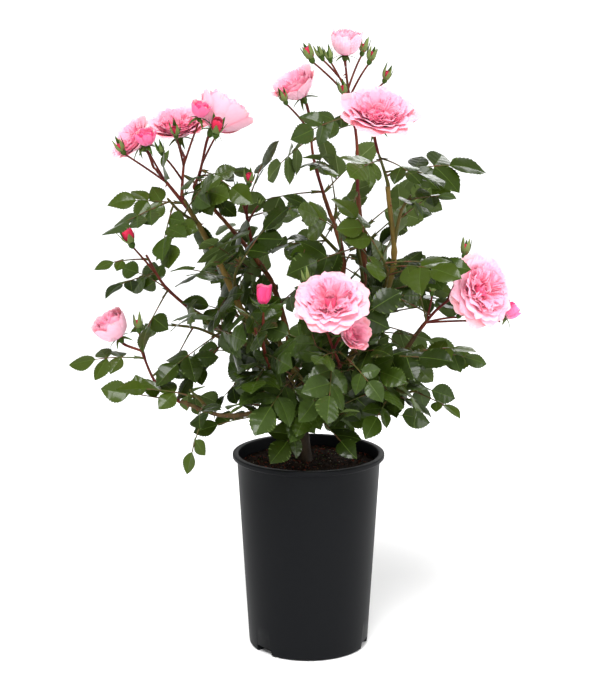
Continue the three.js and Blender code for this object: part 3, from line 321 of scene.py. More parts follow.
class Curve:
    """A smooth curve through points. Places on it run from 0 to 1, with the same share for
    each stretch between two points."""

    def __init__(self, points):
        first, last = points[0] * 2 - points[1], points[-1] * 2 - points[-2]
        self.points = np.array([first, *points, last])
        self.stretches = len(points) - 1

    def at(self, place):
        i = min(int(place * self.stretches), self.stretches - 1)
        t = place * self.stretches - i
        before, start, end, after = self.points[i:i + 4]
        leave, arrive = (end - before) / 2, (after - start) / 2
        bend = 3 * (end - start) - 2 * leave - arrive
        return start + leave * t + bend * t * t + (2 * (start - end) + leave + arrive) * t ** 3

    def at_all(self, places):
        return [self.at(place) for place in places]

    def along(self, place):
        return unit(self.at(min(place + 1e-4, 1)) - self.at(max(place - 1e-4, 0)))


class Arch(Curve):
    """A curve that leaves its root towards a bend and ends at its tip."""

    def __init__(self, root, bend, tip):
        self.root, self.bend, self.tip = root, bend, tip

    def at(self, place):
        rest = 1 - place
        return self.root * rest * rest + self.bend * 2 * rest * place + self.tip * place * place


# ---- where things are

def in_bowl(points):
    outward = np.hypot(points[:, 0], points[:, 1])
    return (outward < BOWL.radius) & (points[:, 2] < BOWL.height + BOWL.slope * outward)


def in_lane(points):
    """Carries the points along the viewer's lines of sight to the plane y = 0, and tests them."""
    share = VIEWER[1] / (VIEWER[1] - points[:, 1:2])
    seen = (VIEWER + (points - VIEWER) * share)[:, [0, 2]]
    lanes = np.array(LANES, float)
    first, last, radii = lanes[:, 0:2], lanes[:, 2:4], lanes[:, 4]
    slot = last - first
    place = ((seen[:, None] - first) * slot).sum(2) / (slot * slot).sum(1)
    nearest = first + slot * np.clip(place, 0, 1)[..., None]
    away = np.linalg.norm(seen[:, None] - nearest, axis=2)
    return np.any(away < radii, axis=1)


class Space:
    """Everything that grows, as balls, so that a new leaf can ask for free room."""

    def __init__(self, most=60000):
        self.points = np.zeros((most, 3))
        self.radii = np.zeros(most)
        self.owners = np.zeros(most, dtype=int)
        self.blades = np.zeros(most, dtype=bool)
        self.count = 0

    def claim(self, owner, kind, points, radius):
        span = slice(self.count, self.count + len(points))
        self.points[span] = points
        self.radii[span] = radius
        self.owners[span] = seed_of(owner)
        self.blades[span] = kind == "blade"
        self.count += len(points)

    def is_free(self, owner, kind, points, radius, room=BLADE_ROOM):
        """True if every point is out of the bowl and the lanes, and its ball misses every ball
        that it has to miss."""
        points = np.array(points)
        if in_bowl(points).any() or (kind == "blade" and in_lane(points).any()):
            return False
        reach = radius + WIDEST_BALL
        near = np.all(
            (self.points[:self.count] > points.min(0) - reach)
            & (self.points[:self.count] < points.max(0) + reach), axis=1)
        balls, radii = self.points[:self.count][near], self.radii[:self.count][near]
        own = self.owners[:self.count][near] == seed_of(owner)
        blades = self.blades[:self.count][near]
        needed = np.where(own, np.where(blades & (kind == "blade"), room, 0), radius + radii)
        gaps = ((points[:, None] - balls[None]) ** 2).sum(2)
        return not np.any(gaps < needed ** 2)


space = Space()


# ---- limbs

def starts_on(parent, at):
    """Where a limb starts: just past its parent's tip, square to it, or inside its parent."""
    root = parent.curve.at(at)
    if at < 1:
        return [root]
    along = parent.curve.along(1)
    return [root + along * GAP, root + along * (GAP + 4)]


def limb_through(name, points, radii):
    """A limb along its points, and how thick it is at each place."""
    points = [vec(*point) for point in points]
    length = sum(math.dist(a, b) for a, b in zip(points, points[1:]))
    return Record(name=name, curve=Curve(points), length=length,
                  radius_at=lambda place: mixed(radii[0], radii[1], place))


def claim_limb(limb):
    count = math.ceil(limb.length / 5)  # a ball every 5 mm
    for i in range(count + 1):
        space.claim(limb.name, "limb", [limb.curve.at(i / count)], limb.radius_at(i / count))


def trunk_limb():
    limb = limb_through("trunk", [TRUNK.base, *TRUNK.bends, TRUNK.tip], TRUNK.radii)
    taper = limb.radius_at

    def radius_at(place):
        height = place * limb.length
        flare = max(0, 1 - height / TRUNK.flare_height)
        from_knuckle = limb.length - height - TRUNK.knuckle_from_tip
        knuckle = math.exp(-((from_knuckle / TRUNK.knuckle_spread) ** 2))
        return taper(place) + (TRUNK.flare - TRUNK.radii[0]) * flare * flare + TRUNK.knuckle * knuckle

    limb.radius_at = radius_at
    return limb


def grow_limbs():
    """The trunk and the canes by name."""
    limbs = {"trunk": trunk_limb()}
    for plan in CANES:
        limbs[plan.name] = limb_through(plan.name, [plan.base, *plan.bends, plan.tip], plan.radii)
        limbs[plan.name].bark = plan.bark
    for limb in limbs.values():
        claim_limb(limb)
    return limbs


# ---- leaves

BLADE_PLACES = [(0.12, 0), (0.3, 0), (0.55, 0), (0.8, 0), (1, 0), (0.25, 0.5), (0.5, 0.62), (0.72, 0.4),
                (0.25, -0.5), (0.5, -0.62), (0.72, -0.4)]


def blade_points(leaflet):
    """The points of a leaflet that have to find free room."""
    side = cross(leaflet.normal, leaflet.along)
    half = leaflet.length * LEAF.width_ratio * 0.5
    return [
        leaflet.root
        + leaflet.along * leaflet.length * far
        + side * half * wide
        - leaflet.normal * leaflet.length * LEAF.curl * far
        for far, wide in BLADE_PLACES
    ]


def shape_leaf(root, heading, outward, size, random):
    """A compound leaf: an arching stalk with one or two pairs of leaflets and one at its end."""
    reach = LEAF.rachis * size
    droop = 0.02 + 0.16 * random()
    tip = root + heading * reach - UP * reach * droop
    curve = Arch(root, root + heading * reach * 0.5, tip)
    roll = play(random, LEAF.roll_play)

    def face_of(along):
        return turned(square_to(UP * LEAF.face_up + outward * LEAF.face_out, along), along, roll)

    leaflets = []
    pairs = LEAF.pairs[1:] if size < LEAF.small_size else LEAF.pairs
    for place, scale in zip(pairs, LEAF.pair_scale):
        along = curve.along(place)
        normal = face_of(along)
        for way in (1, -1):
            spread = LEAF.spread + play(random, LEAF.spread_play)
            out = unit(turned(along, normal, way * spread) + normal * (-0.12 - 0.2 * random()))
            face = turned(square_to(normal, out), out, play(random, LEAF.twist_play))
            length = LEAF.leaflet * size * scale * (0.9 + 0.2 * random())
            leaflets.append(Record(root=curve.at(place), along=out, normal=face, length=length))
    along = curve.along(1)
    length = LEAF.leaflet * size * (0.95 + 0.15 * random())
    leaflets.append(Record(root=tip, along=along, normal=face_of(along), length=length))
    return Record(curve=curve, leaflets=leaflets, normal=face_of(heading))


STALK_PLACES = [0.1, 0.2, 0.32, 0.44, 0.56, 0.68, 0.8, 0.92]


def fit_leaf(owner, leaf, clearance=CLEARANCE, room=BLADE_ROOM):
    """Keeps the leaflets that have free room. True if the stalk has it, and three leaflets,
    the last one among them."""
    stalk = leaf.curve.at_all(STALK_PLACES)
    if not space.is_free(owner, "stalk", stalk, STALK_ROOM):
        return False
    fitting = [
        leaflet for leaflet in leaf.leaflets
        if space.is_free(owner, "blade", blade_points(leaflet), clearance, room)
    ]
    if len(fitting) < 3 or fitting[-1] is not leaf.leaflets[-1]:
        return False
    leaf.leaflets = fitting
    space.claim(owner, "stalk", stalk, STALK_ROOM)
    for leaflet in fitting:
        space.claim(owner, "blade", blade_points(leaflet), clearance)
    return True


def outward_from(root):
    return unit(unit(root * [1, 1, 0]) + FRONT)


def grow_leaves(plan, limb):
    """Leaves round a twig at the golden angle, after the aimed ones. A leaf that doesn't fit is
    turned and tried again, and then left out."""
    random = seeded_random(plan.name)
    leaves = []

    def try_leaf(place, heading, size):
        root = limb.curve.at(place)
        leaf = shape_leaf(root, unit(heading), outward_from(root), size, random)
        if not fit_leaf(plan.name, leaf):
            return False
        leaves.append(leaf)
        return True

    for place, x, y, z, size in plan.aims:
        for attempt in range(TRIES):
            if try_leaf(place, vec(x, y - 0.1 * attempt, z + 0.04 * attempt), size):
                break
    angle = random() * 360
    for i in range(plan.leaves):
        place = 0.2 + 0.74 * (i + 0.5) / plan.leaves
        along = limb.curve.along(place)
        for attempt in range(TRIES):
            around = side_of(along, angle + attempt * TRY_TURN)
            heading = around * 0.85 + along * 0.3 + vec(*plan.toward) + UP * 0.12
            if try_leaf(place, heading, plan.size * (0.88 + 0.24 * random())):
                break
        angle += GOLDEN_ANGLE
    return leaves


# ---- buds and blooms

BUD_RISE = 34  # from the foot of a bud's stalk to the bud
CALYX_DEPTH = 0.48  # below the middle of a flower, as a share of its radius


def shape_bud(limb, x, y, z, length):
    """A bud on its own stalk, which arches out of the twig some way below it."""
    foot = vec(x, y, z)
    place = 0.9
    while place > 0.45 and limb.curve.at(place)[2] > z - BUD_RISE:
        place -= 0.06
    root = limb.curve.at(place)
    curve = Arch(root, mixed(root, foot, 0.55) + limb.curve.along(place) * 4, foot)
    return Record(curve=curve, foot=foot, along=unit(curve.along(1) + UP), length=length)


def claim_bud(owner, bud):
    space.claim(owner, "bud", bud.curve.at_all((0.4, 0.6, 0.8, 1)), 1.6)
    space.claim(owner, "bud", [bud.foot + bud.along * bud.length * 0.5], bud.length * 0.45)


def shape_bloom(plan, limb):
    """A flower's stalk, from its twig to the calyx."""
    calyx = plan.centre - plan.facing * plan.radius * CALYX_DEPTH
    starts = starts_on(limb, plan.at)
    neck = calyx - plan.facing * 0.35 * math.dist(starts[0], calyx)
    plan.stalk = limb_through(plan.name, [*starts, neck, calyx], (1.5, 2.2))
    return plan


def claim_bloom(bloom):
    space.claim(bloom.name, "bud", bloom.stalk.curve.at_all((0.35, 0.55, 0.75, 0.95)), 2)
    space.claim(bloom.name, "bud", [bloom.centre + bloom.facing * bloom.radius * 0.1], bloom.radius * 0.62)
    lean = math.radians(28 + 58 * bloom.open)
    for i in range(12):
        rim = (bloom.centre
               + bloom.facing * bloom.radius * (-0.35 + 0.95 * math.cos(lean))
               + side_of(bloom.facing, i * 30) * bloom.radius * 0.95 * math.sin(lean))
        space.claim(bloom.name, "bud", [rim], bloom.radius * 0.25)


def grow_plant():
    """The source's plant: limbs, twigs with buds, blooms, and then leaves mass by mass."""
    limbs = grow_limbs()
    twigs = []
    for plan in MASSES:
        points = [*starts_on(limbs[plan.on], plan.at), *plan.bends, plan.tip]
        limb = limb_through(plan.name, points, (2.6, 1.5))
        buds = [shape_bud(limb, *bud) for bud in plan.buds]
        claim_limb(limb)
        for bud in buds:
            claim_bud(plan.name, bud)
        twigs.append(Record(name=plan.name, plan=plan, limb=limb, buds=buds, shoots=[]))
    by_name = {twig.name: twig for twig in twigs}
    blooms = [shape_bloom(plan, by_name[plan.on].limb) for plan in BLOOMS]
    for bloom in blooms:
        claim_bloom(bloom)
    for twig in twigs:
        twig.leaves = grow_leaves(twig.plan, twig.limb)
    return limbs, twigs, blooms


# ---- surfaces

def placed(name, data):
    """A new object in the scene, made of a mesh, a lamp or a camera."""
    item = bpy.data.objects.new(name, data)
    bpy.context.scene.collection.objects.link(item)
    return item


class Piece:
    """Surfaces gathered under one name, each with the name of its material."""

    def __init__(self, name):
        self.name = name
        self.points, self.faces, self.kinds = [], [], []
        self.count = 0

    def add(self, points, faces, kind):
        points = np.reshape(points, (-1, 3))
        self.points.append(points)
        self.faces += (np.asarray(faces) + self.count).tolist()
        self.kinds += [kind] * len(faces)
        self.count += len(points)

    def plain(self):
        """The piece as a mesh object, in metres and with no material yet."""
        mesh = bpy.data.meshes.new(self.name)
        mesh.from_pydata(np.concatenate(self.points) * METRES, [], self.faces)
        return placed(self.name, mesh)

    def made(self, slot, nodes=()):
        """The finished piece, which stands for these CAD nodes."""
        piece = self.plain()
        kinds = sorted(set(self.kinds))
        for kind in kinds:
            piece.data.materials.append(MATERIALS[kind])
        piece.data.polygons.foreach_set("material_index", [kinds.index(kind) for kind in self.kinds])
        piece.data.shade_smooth()
        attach(piece, BODY)
        if nodes:
            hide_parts(*nodes)
        return piece


def grid_faces(rows, cols, closed=False):
    """The quads of a grid of points, row by row. A closed grid's last column meets its first."""
    number = np.arange(rows * cols).reshape(rows, cols)
    if closed:
        number = np.hstack([number, number[:, :1]])
    corners = number[:-1, :-1], number[1:, :-1], number[1:, 1:], number[:-1, 1:]
    return np.stack(corners, axis=-1).reshape(-1, 4)


def grid_normals(grid):
    across = np.gradient(grid, axis=1)
    along = np.gradient(grid, axis=0)
    normals = np.cross(along, across)
    return normals / np.maximum(np.linalg.norm(normals, axis=2, keepdims=True), 1e-9)


def underside(grid, thickness):
    """The grid moved back by a thickness, but for its edge, where the two sides meet."""
    beneath = grid.copy()
    beneath[1:-1, 1:-1] -= thickness * grid_normals(grid)[1:-1, 1:-1]
    return beneath


def add_sheet(piece, grid, thickness, top, under):
    """A thin closed body: the grid and its underside."""
    faces = grid_faces(*grid.shape[:2])
    piece.add(grid, faces, top)
    piece.add(underside(grid, thickness), faces[:, ::-1], under)


def tube_rings(points, radii, sides):
    """A ring of corners round each point."""
    points = np.array(points)
    angles = np.linspace(0, 2 * math.pi, sides, endpoint=False)
    rings = []
    side = None
    for i, (point, radius) in enumerate(zip(points, radii)):
        along = unit(points[min(i + 1, len(points) - 1)] - points[max(i - 1, 0)])
        side = side_of(along) if side is None else square_to(side, along)
        other = cross(along, side)
        rings.append(point + radius * (np.outer(np.cos(angles), side) + np.outer(np.sin(angles), other)))
    return np.array(rings)


def add_rings(piece, rings, kind):
    """A closed tube through rings of corners."""
    count, sides, _ = rings.shape
    piece.add(rings, grid_faces(count, sides, closed=True)[:, ::-1], kind)
    piece.add(rings[0], [list(range(sides))[::-1]], kind)
    piece.add(rings[-1], [list(range(sides))], kind)


def add_tube(piece, points, radii, sides, kind):
    add_rings(piece, tube_rings(points, radii, sides), kind)


# ---- fine limbs

JOINT_SPACING, JOINT_SWELL = 38, 0.16  # how far apart a limb's joints are, and how they thicken it
BARK_GRAIN = vec(1, 1, 0.35)  # the relief of bark is drawn out along z
# A prickle's middle and tip: how far out and down they are, and how wide, as shares of its
# length and of its foot.
PRICKLE_RINGS = [(0.5, 0.2, 0.35), (1, 0.45, 0.02)]


def roughened(rings, centres, depth, scale):
    """Rings moved in and out by noise, for the relief of bark."""
    out = rings - centres[:, None]
    lift = np.array([
        [noise.fractal(Vector(point * BARK_GRAIN) / scale, 1.0, 2.0, 3) for point in ring]
        for ring in rings
    ])
    return rings + depth * lift[..., None] * out / np.linalg.norm(out, axis=2, keepdims=True)


def add_prickle(piece, root, out, down, length):
    """A hooked thorn with a long narrow foot."""
    side = cross(out, down)
    foot = root - out * length * 0.2
    base = [foot + down * length * 0.42 * math.cos(a) + side * length * 0.18 * math.sin(a)
            for a in np.linspace(0, 2 * math.pi, 6, endpoint=False)]
    rings = [[root + out * length * far + down * length * low + (point - root) * wide for point in base]
             for far, low, wide in PRICKLE_RINGS]
    add_rings(piece, np.array([base, *rings]), "thorn")


def add_limb(piece, limb, sides, kind, spacing=4, start=0.0, depth=0.0, thorns=0.0):
    """A limb with bark relief, slight swellings at its joints, and thorns."""
    random = seeded_random(limb.name + " bark")
    count = max(4, math.ceil(limb.length * (1 - start) / spacing))
    places = [mixed(start, 1, i / count) for i in range(count + 1)]
    centres = np.array(limb.curve.at_all(places))
    joints = [random() for _ in range(int(limb.length / JOINT_SPACING))]

    def swell(place):
        return sum(JOINT_SWELL * math.exp(-(((place - j) * limb.length / 4) ** 2)) for j in joints)

    rings = tube_rings(centres, [limb.radius_at(place) * (1 + swell(place)) for place in places], sides)
    if depth:
        rings = roughened(rings, centres, depth, 3)
    add_rings(piece, rings, kind)
    for _ in range(int(limb.length * thorns)):
        place = mixed(max(start, 0.06), 0.97, random())
        along = limb.curve.along(place)
        out = side_of(along, random() * 360)
        root = limb.curve.at(place) + out * limb.radius_at(place)
        add_prickle(piece, root, out, -along, mixed(2.6, 4.6, random()))


# ---- fine leaves

LEAFLET_ROWS = 18  # two for each tooth of the edge
LEAFLET_COLUMNS = [-1, -0.55, -0.05, 0.05, 0.55, 1]  # the middle two bound the midrib
FULLER = 1.08  # than the plain solid of a leaflet
TOOTH, QUILT, RIPPLE = 0.034, 0.007, 0.02  # shares of a leaflet's length
RIB_WIDTH, RIB_DEPTH, BLADE_THICKNESS = 0.5, 0.3, 0.45
STIPULE = [(0.02, 0.9), (0.08, 2.0), (0.14, 2.4), (0.18, 2.6), (0.225, 3.4)]  # place and width
STIPULE_FREE = 0.2  # where its point leaves the leaf's stalk


def leaflet_width(far):
    """Half the width of a leaflet along its length, as a share of the widest: an egg shape,
    broadest below the middle, with a pointed tip."""
    return far ** 0.52 * (1 - far) ** 0.88 / 0.392


def leaflet_grid(leaflet, random):
    """A leaflet's upper side: folded at the midrib, quilted between its veins, toothed at its
    edge, with a tip that curls under."""
    length = leaflet.length * FULLER
    fold = mixed(-0.2, 0.36, random())
    curl = LEAF.curl * mixed(0.4, 3.2, random())
    twist = mixed(-18, 18, random())
    wave = mixed(0.2, 1.0, random())
    rows = []
    for i in range(LEAFLET_ROWS + 1):
        far = i / LEAFLET_ROWS
        half = max(length * LEAF.width_ratio * 0.5 * leaflet_width(far), 0.45 if i == 0 else 0.12)
        tooth = TOOTH * length * (i % 2) * math.sin(math.pi * min(far * 1.08, 1))
        side = turned(cross(leaflet.normal, leaflet.along), leaflet.along, twist * far)
        up = cross(leaflet.along, side)
        row = []
        for wide in LEAFLET_COLUMNS:
            across = abs(wide) * half
            on_rib, on_edge = abs(wide) < 0.1, abs(wide) == 1
            x = far * length + tooth * 0.9 * on_edge + across * 0.25 * (1 - far)
            y = RIB_WIDTH * (1 - 0.6 * far) if on_rib else across + tooth * on_edge
            quilt = QUILT * length * math.sin(math.pi * i / 2) * (not on_rib and not on_edge)
            ripple = wave * RIPPLE * length * math.sin(far * 9 + wide * 2) * on_edge
            z = fold * across - 0.014 * across * across + quilt + ripple - RIB_DEPTH * on_rib
            z -= curl * length * far * far
            row.append(leaflet.root + leaflet.along * x + side * math.copysign(y, wide) + up * z)
        rows.append(row)
    return np.array(rows)


def add_leaflet(piece, leaflet, kind, random):
    grid = leaflet_grid(leaflet, random)
    rows, cols, _ = grid.shape
    beneath = underside(grid, BLADE_THICKNESS)
    faces = grid_faces(rows, cols).reshape(rows - 1, cols - 1, 4)
    rib = (cols - 1) // 2
    blade = np.delete(faces, rib, axis=1).reshape(-1, 4)
    piece.add(grid, blade, kind)
    piece.add(grid, faces[:, rib], "rib_" + kind)
    piece.add(beneath, blade[:, ::-1], "leaf_under")
    piece.add(beneath, faces[:, rib, ::-1], "rib_under")


def add_stipules(piece, leaf, kind):
    """The pair of narrow wings along the foot of a leaf's stalk, each ending in a free point."""
    for way in (1, -1):
        rows = []
        for far, wide in STIPULE:
            centre = leaf.curve.at(far)
            along = leaf.curve.along(far)
            side = cross(square_to(leaf.normal, along), along) * way
            inner = 0.3 if far < STIPULE_FREE else 3.0
            outs = [inner + (wide - inner) * k / 2 for k in range(3)]
            rows.append([centre + side * out + leaf.normal * 0.3 * k for k, out in enumerate(outs)])
        add_sheet(piece, np.array(rows)[:, ::way], 0.3, kind, "leaf_under")


def add_leaf(blades, stalks, leaf, kind, random):
    """A whole compound leaf: its stalk and stipules, and its leaflets."""
    places = np.linspace(0, 1, 10)
    radii = [mixed(1.15, 0.6, place) + 0.5 * math.exp(-place * 16) for place in places]
    add_tube(stalks, leaf.curve.at_all(places), radii, 6, "leaf_stalk")
    add_stipules(blades, leaf, kind)
    for leaflet in leaf.leaflets:
        add_leaflet(blades, leaflet, kind, random)


# ---- petals and sepals

PETAL_THICKNESS, SEPAL_THICKNESS = 0.35, 0.4
BROADEST = 0.68  # where along its length a petal is broadest
BEND_STEPS = 40  # in the curve that a petal follows


def petal_outline(far, wide, width):
    """Where the rows and columns of a broad round petal lie along its length, and half the width
    that each column spreads over there."""
    reach = far * (1 - 0.2 * np.abs(wide) ** 3 - 0.05 * np.exp(-(wide / 0.25) ** 2))
    half = width * 0.5 * np.maximum(np.sin(np.minimum(reach / BROADEST, 1) * math.pi / 2) ** 0.8, 0.16)
    return reach, half * np.sqrt(np.maximum(1 - (np.maximum(reach - BROADEST, 0) / 0.5) ** 2, 0))


def sepal_outline(far, wide, width):
    """The same for a narrow pointed sepal."""
    reach = far + 0 * wide
    swell = np.sin(np.minimum(reach / 0.3, 1) * math.pi / 2) * 0.6 + 0.4
    return reach, width * 0.5 * swell * (1.02 - reach) ** 0.75


def petal_grid(base, axis, side, start, length, width, lean, wrap, frill=0.0, phase=0.0,
               outline=petal_outline, rows=8, cols=9):
    """A petal as a grid of points, its upper side towards the flower's axis.

    base is where the flower's axis meets the petals' foot, and side the way that this petal
    goes out. start is how far off the axis it begins. lean holds its angles off the axis at
    its foot, past its middle and at its tip. It wraps round a cylinder of radius wrap."""
    fine = np.linspace(0, 1, BEND_STEPS + 1)
    angles = np.radians(np.interp(fine, [0, 0.55, 1], lean))
    out_at = start + np.concatenate([[0], np.cumsum(np.sin(angles[1:]))]) * length / BEND_STEPS
    up_at = np.concatenate([[0], np.cumsum(np.cos(angles[1:]))]) * length / BEND_STEPS
    far = np.linspace(0, 1, rows)[:, None]
    wide = np.linspace(-1, 1, cols)[None, :]
    reach, half = outline(far, wide, width)
    angle = wide * half / wrap
    rim = reach ** 3
    up = np.interp(reach, fine, up_at) + frill * rim * np.sin(wide * 3.4 + phase)
    out = (np.interp(reach, fine, out_at)
           - wrap * (1 - np.cos(angle)) + frill * rim * np.cos(wide * 4.3 + phase * 1.7))
    across = wrap * np.sin(angle)
    return base + up[..., None] * axis + out[..., None] * side + across[..., None] * cross(axis, side)


def add_petal(piece, grid, inner, outer, deep=None):
    """A petal, whose inner face looks at the flower's axis and is deeper in colour below."""
    grid = grid[:, ::-1]
    rows, cols, _ = grid.shape
    faces = grid_faces(rows, cols)
    low = (rows // 3) * (cols - 1)
    piece.add(grid, faces[:low], deep or inner)
    piece.add(grid, faces[low:], inner)
    piece.add(underside(grid, PETAL_THICKNESS), faces[:, ::-1], outer)


# Whorls of an open flower of radius 1, from the outermost in: how many petals, how long and how
# wide they are, their leans on an open flower and on a closed one, and their two colours.
WHORLS = [
    (7, 1.03, 1.00, (50, 72, 106), (92, 20, -8), "petal_pale", "petal_blush"),
    (7, 0.98, 0.84, (48, 66, 92), (84, 12, -14), "petal_light", "petal_pale"),
    (8, 0.92, 0.70, (42, 58, 76), (72, 6, -14), "petal_light", "petal_pale"),
    (10, 0.85, 0.56, (35, 49, 60), (58, 2, -12), "petal_pink", "petal_light"),
    (11, 0.78, 0.44, (28, 38, 46), (44, 0, -10), "petal_pink", "petal_light"),
]
HALF_OPEN_WHORLS = [
    (5, 1.0, 1.0, (50, 72, 106), (88, 12, -8), "petal_bright", "petal_blush"),
    (5, 0.98, 0.9, (48, 66, 92), (80, 4, -18), "petal_hot", "petal_pale"),
    (6, 0.94, 0.7, (42, 58, 76), (66, 0, -18), "petal_hot", "petal_bright"),
]
# In the heart of an open flower, the turns of the petals round each middle, from inside out.
HEART_TURNS = [(-60, 60), (-70, 0, 70), (-70, 0, 70), (-90, -30, 30, 90), (-90, -30, 30, 90)]
BIG_BLOOM = 35  # the least radius of a flower with all its petals
LARGEST_BARREL, SMALLEST_BARREL, SMALLEST_RED = 31, 26, 17  # lengths of buds
CLOSED_LENGTH = 1.62  # of the outer petals of a closed cup
FOOT_OPEN, FOOT_CLOSED = -0.36, -0.5  # where the petals begin, below the middle of the flower


def foot_of(bloom):
    """Where the petals begin."""
    return bloom.centre + bloom.facing * bloom.radius * mixed(FOOT_CLOSED, FOOT_OPEN, bloom.open)


def add_whorls(piece, bloom, whorls, random):
    foot = foot_of(bloom)
    spread = bloom.open ** 1.8  # a half-open flower is still a cup
    for number, (count, length, width, opened, closed, inner, outer) in enumerate(whorls):
        reach = bloom.radius * mixed(CLOSED_LENGTH * (1 - 0.05 * number), length, spread)
        for i in range(count):
            angle = 360 * (i + 0.5 * (number % 2)) / count + play(random, 16)
            lean = [mixed(shut, wide, spread) + play(random, 9) for shut, wide in zip(closed, opened)]
            lean[2] += play(random, 14)
            grid = petal_grid(
                foot, bloom.facing, side_of(bloom.facing, angle),
                start=0.05 * bloom.radius,
                length=reach * (0.94 + 0.12 * random()),
                width=width * bloom.radius * (0.9 + 0.2 * random()),
                lean=lean,
                wrap=bloom.radius * mixed(0.55, 0.8, bloom.open) * (1 - 0.1 * number),
                frill=bloom.radius * 0.035 * (0.6 + 0.8 * random()),
                phase=6 * random(),
            )
            add_petal(piece, grid, inner, outer, deep="petal_rose" if number > 2 else "petal_pink")


def add_heart(piece, bloom, parts, random):
    """The heart of a rosette, in parts. In each of them, upright petals are nested round a middle
    of their own, as many deep as there are parts."""
    foot = foot_of(bloom)
    top = mixed(0.72, 0.34, bloom.open) * bloom.radius + math.dist(foot, bloom.centre)
    floor = foot + bloom.facing * 0.1 * bloom.radius
    add_rolled_petals(piece, floor, bloom.facing, top * 0.8, top * 0.9, "petal_rose", "petal_light")
    for part in range(parts):
        way = side_of(bloom.facing, 360 * part / parts + 24 * random())
        axis = unit(bloom.facing + way * 0.5 * bloom.open)
        aside = bloom.radius * mixed(0.06, 0.14, bloom.open)
        middle = foot + way * aside
        for k, turns in enumerate(HEART_TURNS[:parts]):
            ring = bloom.radius * (0.04 + 0.055 * k) * mixed(0.7, 1.0, bloom.open)
            lift = 0.9 * (aside + ring * 0.5)  # keeps its foot inside the outer petals
            for turn in turns:
                grid = petal_grid(
                    middle + axis * lift, axis,
                    square_to(turned(way, bloom.facing, turn + play(random, 30)), axis),
                    start=ring * 0.5,
                    length=top * (1.0 - 0.035 * k + 0.12 * random()) - lift,
                    width=max(ring * 1.9, bloom.radius * 0.16) * (0.85 + 0.3 * random()),
                    lean=(6 + 2 * k, 6 + 3 * k, 12 + 9 * k),
                    wrap=ring * 1.1,
                    frill=bloom.radius * 0.02,
                    phase=6 * random(),
                    rows=7,
                )
                inner = "petal_pink" if k < 3 else "petal_light"
                add_petal(piece, grid, inner, "petal_light", deep="petal_deep")


def add_sepals(piece, foot, axis, length, width, lean, wrap, start, random):
    for i in range(5):
        grid = petal_grid(
            foot, axis, side_of(axis, 72 * i + 14 * random()),
            start=start,
            length=length * (0.9 + 0.25 * random()),
            width=width,
            lean=[angle + play(random, 12) for angle in lean],
            wrap=wrap,
            outline=sepal_outline,
            cols=5,
        )
        add_sheet(piece, grid[:, ::-1], SEPAL_THICKNESS, "sepal_inner", "sepal")


def add_hip(piece, foot, axis, length, radius):
    """The green urn under a flower."""
    far = np.linspace(0, 1, 7)
    radii = radius * np.interp(far, [0, 0.35, 0.75, 1], [0.42, 0.9, 1.0, 0.72])
    add_tube(piece, [foot + axis * length * f for f in far], radii, 10, "sepal")


def add_bloom(petals, stems, bloom):
    random = seeded_random(bloom.name + " petals")
    big = bloom.radius > BIG_BLOOM
    add_whorls(petals, bloom, WHORLS if big else WHORLS[:4], random)
    add_heart(petals, bloom, 5 if big else 3, random)
    add_calyx(stems, bloom, random)
    add_limb(stems, bloom.stalk, 8, "stem_red")


def add_calyx(piece, bloom, random):
    """The green urn under an open flower, and its sepals, which bend back."""
    hip = mixed(0.3, 0.18, bloom.radius / 46) * bloom.radius
    foot = foot_of(bloom)
    add_hip(piece, foot - bloom.facing * hip * 1.5, bloom.facing, hip * 1.7, hip * 0.75)
    add_sepals(piece, foot - bloom.facing * hip * 0.1, bloom.facing, length=18, width=6, lean=(96, 118, 140),
               wrap=9, start=hip * 0.4, random=random)


def add_bud(petals, stems, bud, random):
    """A bud: green and shut while it is small, then tipped with red, then a bright barrel, and
    last a half-open flower."""
    add_tube(stems, bud.curve.at_all(np.linspace(0, 1, 9)), np.linspace(1.5, 1.2, 9), 7, "stem_red")
    length = bud.length
    if length > LARGEST_BARREL:
        add_half_open(petals, stems, bud, random)
        return
    add_hip(stems, bud.foot - bud.along * length * 0.08, bud.along, length * 0.36, length * 0.19)
    base = bud.foot + bud.along * length * 0.2
    ripe = (length - SMALLEST_RED) / (SMALLEST_BARREL - SMALLEST_RED)
    height = length * min(mixed(0.72, 1.05, ripe), 1)
    if length >= SMALLEST_BARREL:
        add_rolled_petals(petals, base, bud.along, height, length * 1.14, "petal_hot", "petal_bright")
    elif length > SMALLEST_RED:
        add_rolled_petals(petals, base, bud.along, height, length, "petal_red", "petal_red", tip_lean=-22)
    else:
        core = [base + bud.along * length * far for far in (-0.05, 0.1, 0.3, 0.5, 0.66, 0.78)]
        add_tube(stems, core, [length * wide for wide in (0.16, 0.26, 0.29, 0.24, 0.14, 0.03)], 10, "sepal")
    add_bud_sepals(stems, base, bud, ripe, random)


def add_bud_sepals(piece, base, bud, ripe, random):
    """They hold a shut bud, and stand off a barrel."""
    length = bud.length
    if length >= SMALLEST_BARREL:
        look = dict(length=length * 0.6, width=length * 0.36, lean=(96, 70, 30), wrap=length * 0.3)
    else:
        bent = 28 * max(ripe, 0) ** 4
        look = dict(length=length * mixed(1.2, 0.9, max(ripe, 0)), width=length * 0.52,
                    lean=(62, bent - 2, 4 + 1.5 * bent), wrap=length * 0.32)
    add_sepals(piece, base, bud.along, **look, start=length * 0.05, random=random)


